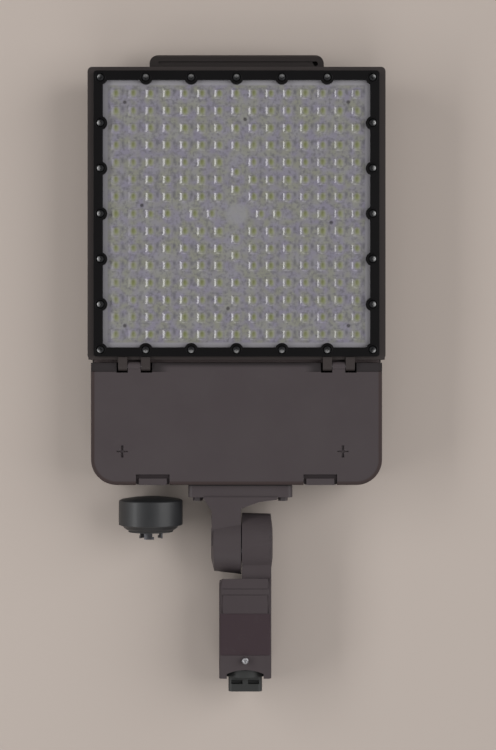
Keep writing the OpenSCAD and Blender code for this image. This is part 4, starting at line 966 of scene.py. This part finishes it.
# loose cap: shell and base are turned; base is a profile of (radius, height)
looseCap = {"x": -115.8, "y": -172.6, "z": 43, "radius": 43, "dome": 4.7, "wall": 33.6, "skin": 2.4,
            "around": 96, "domeSteps": (0, 8, 16, 24, 32, 37, 40),
            "base": [(0, 28), (40.2, 28), (40.2, 33.5), (39.5, 33.6), (38.2, 34.4), (37.1, 35.4),
                     (36.6, 36.3), (35.7, 37.5), (34.2, 38.7), (32.5, 39.8), (31.1, 40.5), (29.8, 40.8),
                     (0, 40.8)]}


def buildCap(s):
    place = Matrix.Translation((s["x"], s["y"], s["z"])) @ Matrix.Rotation(math.radians(90), 4, "X")
    r, skin, wall = s["radius"], s["skin"], s["wall"]
    dome = [(k, -s["dome"] + s["dome"] * (k / r) ** 2) for k in s["domeSteps"]]
    rim = [(r - 1.6, -0.15), (r - 0.7, 0.5), (r - 0.2, 1.4), (r, 2.6), (r, wall - 1), (r - 0.3, wall - 0.3),
           (r - 1, wall)]
    inside = [(r - skin, wall), (r - skin, skin + 2), (r - skin - 2, skin), (0, skin)]
    shell = Shape().spin(dome + rim + inside, place, s["around"])
    makePiece("capShell", shell, "head", "cap", ["cap_shell"], 40)
    base = Shape().spin(s["base"], place, s["around"])
    makePiece("capBase", base, "head", "cap", ["cap_base"], 24)


buildCap(looseCap)
print("screws and cap made")


# pieces from the frame that get soft edges: node, then name, body, slot, finish and edge
softPieces = {
    "housing": ("housingCasting", "head", "bronze_casting", "head", 0.7),
    "arm_bracket": ("armBracket", "head", "bronze_casting", "bronze", 1.4),
    "slip_fitter": ("slipFitter", "slip_fitter", "bronze_casting", "sleeve", 1.2),
    "end_plug": ("endPlug", "end_plug", "black_plastic", "plug", 1.2),
    "lock_screw": ("lockScrew", "lock_screw", "zinc_screws", "zinc", 0.3),
    "clamp_screw_near": ("clampScrewNear", "clamp_screw_near", "zinc_screws", "dull", 0.3),
    "clamp_screw_far": ("clampScrewFar", "clamp_screw_far", "zinc_screws", "dull", 0.3),
    "arm_bolts": ("armBolts", "head", "zinc_screws", "darkHead", 0.5),
    "arm_nuts": ("armNuts", "head", "zinc_screws", "dull", 0.3),
    "pivot_bolt": ("pivotBolt", "head", "zinc_screws", "dull", 0.6),
    "pivot_nut": ("pivotNut", "head", "zinc_screws", "dull", 0.4),
    "pivot_washer": ("pivotWasher", "head", "steel_pins", "steel", 0.3),
    "hinge_pins": ("hingePins", "head", "steel_pins", "steel", 0.4),
    "receptacle": ("receptacle", "receptacle", "black_plastic", "dark", 0.8),
    "receptacle_nut": ("receptacleNut", "head", "zinc_screws", "zinc", 0.5),
    "driver_left": ("driverLeft", "head", "driver_can", "can", 1.2),
    "driver_right": ("driverRight", "head", "driver_can", "can", 1.2),
    "surge_protector": ("surgeProtector", "head", "black_plastic", "dark", 1.4),
    "terminal_block": ("terminalBlock", "head", "white_plastic", "white", 0.5),
    "board_connector": ("boardConnector", "head", "white_plastic", "white", 0.4),
    "breather_vent": ("breatherVent", "head", "black_plastic", "dark", 0.6),
    "cap_blades": ("capBlades", "head", "blade_metal", "blade", 0.3),
}
# what closes the nose's slot below, which is shallow where it shows
noseFill = {"low": (-107, 412.4, 38), "high": (102, 417.4, 48.2)}
for node, (name, body, slotName, finish, edge) in softPieces.items():
    made = cadCopy(node, name)
    if node == "housing":
        combine(made, [Shape().box(noseFill["low"], noseFill["high"])], "UNION")
    soften(made, edge)
    finishPiece(made, body, finish, [node])
print("soft-edged pieces made:", len(softPieces))


# a ledge of the casting low in the gap between head and door, in the lighter coat that paints light into the
# gap
ledge = {"low": (-189.5, 11.9, 63), "high": (189.5, 17, 67.6), "edge": 0.5}
makePiece("hingeLedge", Shape().box(ledge["low"], ledge["high"], ledge["edge"]),
          "head", "ledge")


# finishes of the nodes that stay as they are
nodeFinish = {
    "lens_gasket": "rubber", "led_board": "board", "led_chips": "phosphor", "led_leads": "lead",
    "duct_grommet": "rubber", "door_gasket": "rubber", "latch_pins": "steel", "latch_springs": "steel",
    "ground_screw": "green", "receptacle_contacts": "brass", "receptacle_gasket": "rubber",
    "arm_gasket": "rubber", "arm_grommet": "rubber", "cap_gasket": "rubber",
}
for node, finish in nodeFinish.items():
    shown = cadNodes[node]
    shown.data.materials.clear()
    shown.data.materials.append(materials[finish])
    shown.data.polygons.foreach_set("material_index", [0] * len(shown.data.polygons))


# lamps: place, size along and across in mm, and power
studio = {"floor": srgb(176, 165, 157), "floorPale": srgb(204, 196, 190), "floorShare": 0.2, "floorCloud": 900,
          "floorLow": (-12000, -12000, -20), "floorHigh": (12000, 12000, -0.4),
          "world": srgb(205, 203, 202), "worldStrength": 0.5,
          "lamps": {"stripLeft": ((-2000, 150, 1350), (2800, 600), 36),
                    "softRight": ((2800, 500, 2200), (3000, 3000), 92),
                    "softFront": ((200, -3000, 2400), (2600, 1800), 26)},
          "lampsAim": (0, 0, 70), "camera": (15.2, -4.6, 2134), "lens": 74.5}


def buildStudio(s):
    floor = newObject("floor", newMesh("floor", Shape().box(s["floorLow"], s["floorHigh"])))
    paint = Paint("paleFloor")
    cloud = paint.between(paint.noise(s["floorCloud"], 2), 0, s["floorShare"])
    paint.finish(base=paint.blend(cloud, s["floor"], s["floorPale"]), rough=0.8, specular=0.2)
    floor.data.materials.append(paint.material)
    world = bpy.data.worlds.new("studio")
    world.use_nodes = True
    world.node_tree.nodes["Background"].inputs[0].default_value = (*s["world"], 1)
    world.node_tree.nodes["Background"].inputs[1].default_value = s["worldStrength"]
    bpy.context.scene.world = world
    for name, (place, across, power) in s["lamps"].items():
        light = bpy.data.lights.new(name, "AREA")
        light.shape, light.size, light.size_y = "RECTANGLE", across[0] * mm, across[1] * mm
        light.energy = power
        lamp = newObject(name, light)
        lamp.location = [c * mm for c in place]
        aim = Vector(s["lampsAim"]) * mm - lamp.location
        lamp.rotation_euler = aim.to_track_quat("-Z", "Y").to_euler()
    camera = bpy.data.cameras.new("camera")
    camera.lens, camera.sensor_width, camera.dof.use_dof = s["lens"], 36, False
    eye = newObject("camera", camera)
    eye.location = [c * mm for c in s["camera"]]
    bpy.context.scene.camera = eye
    bpy.context.scene.view_settings.view_transform = "Standard"


buildStudio(studio)
print("studio made")
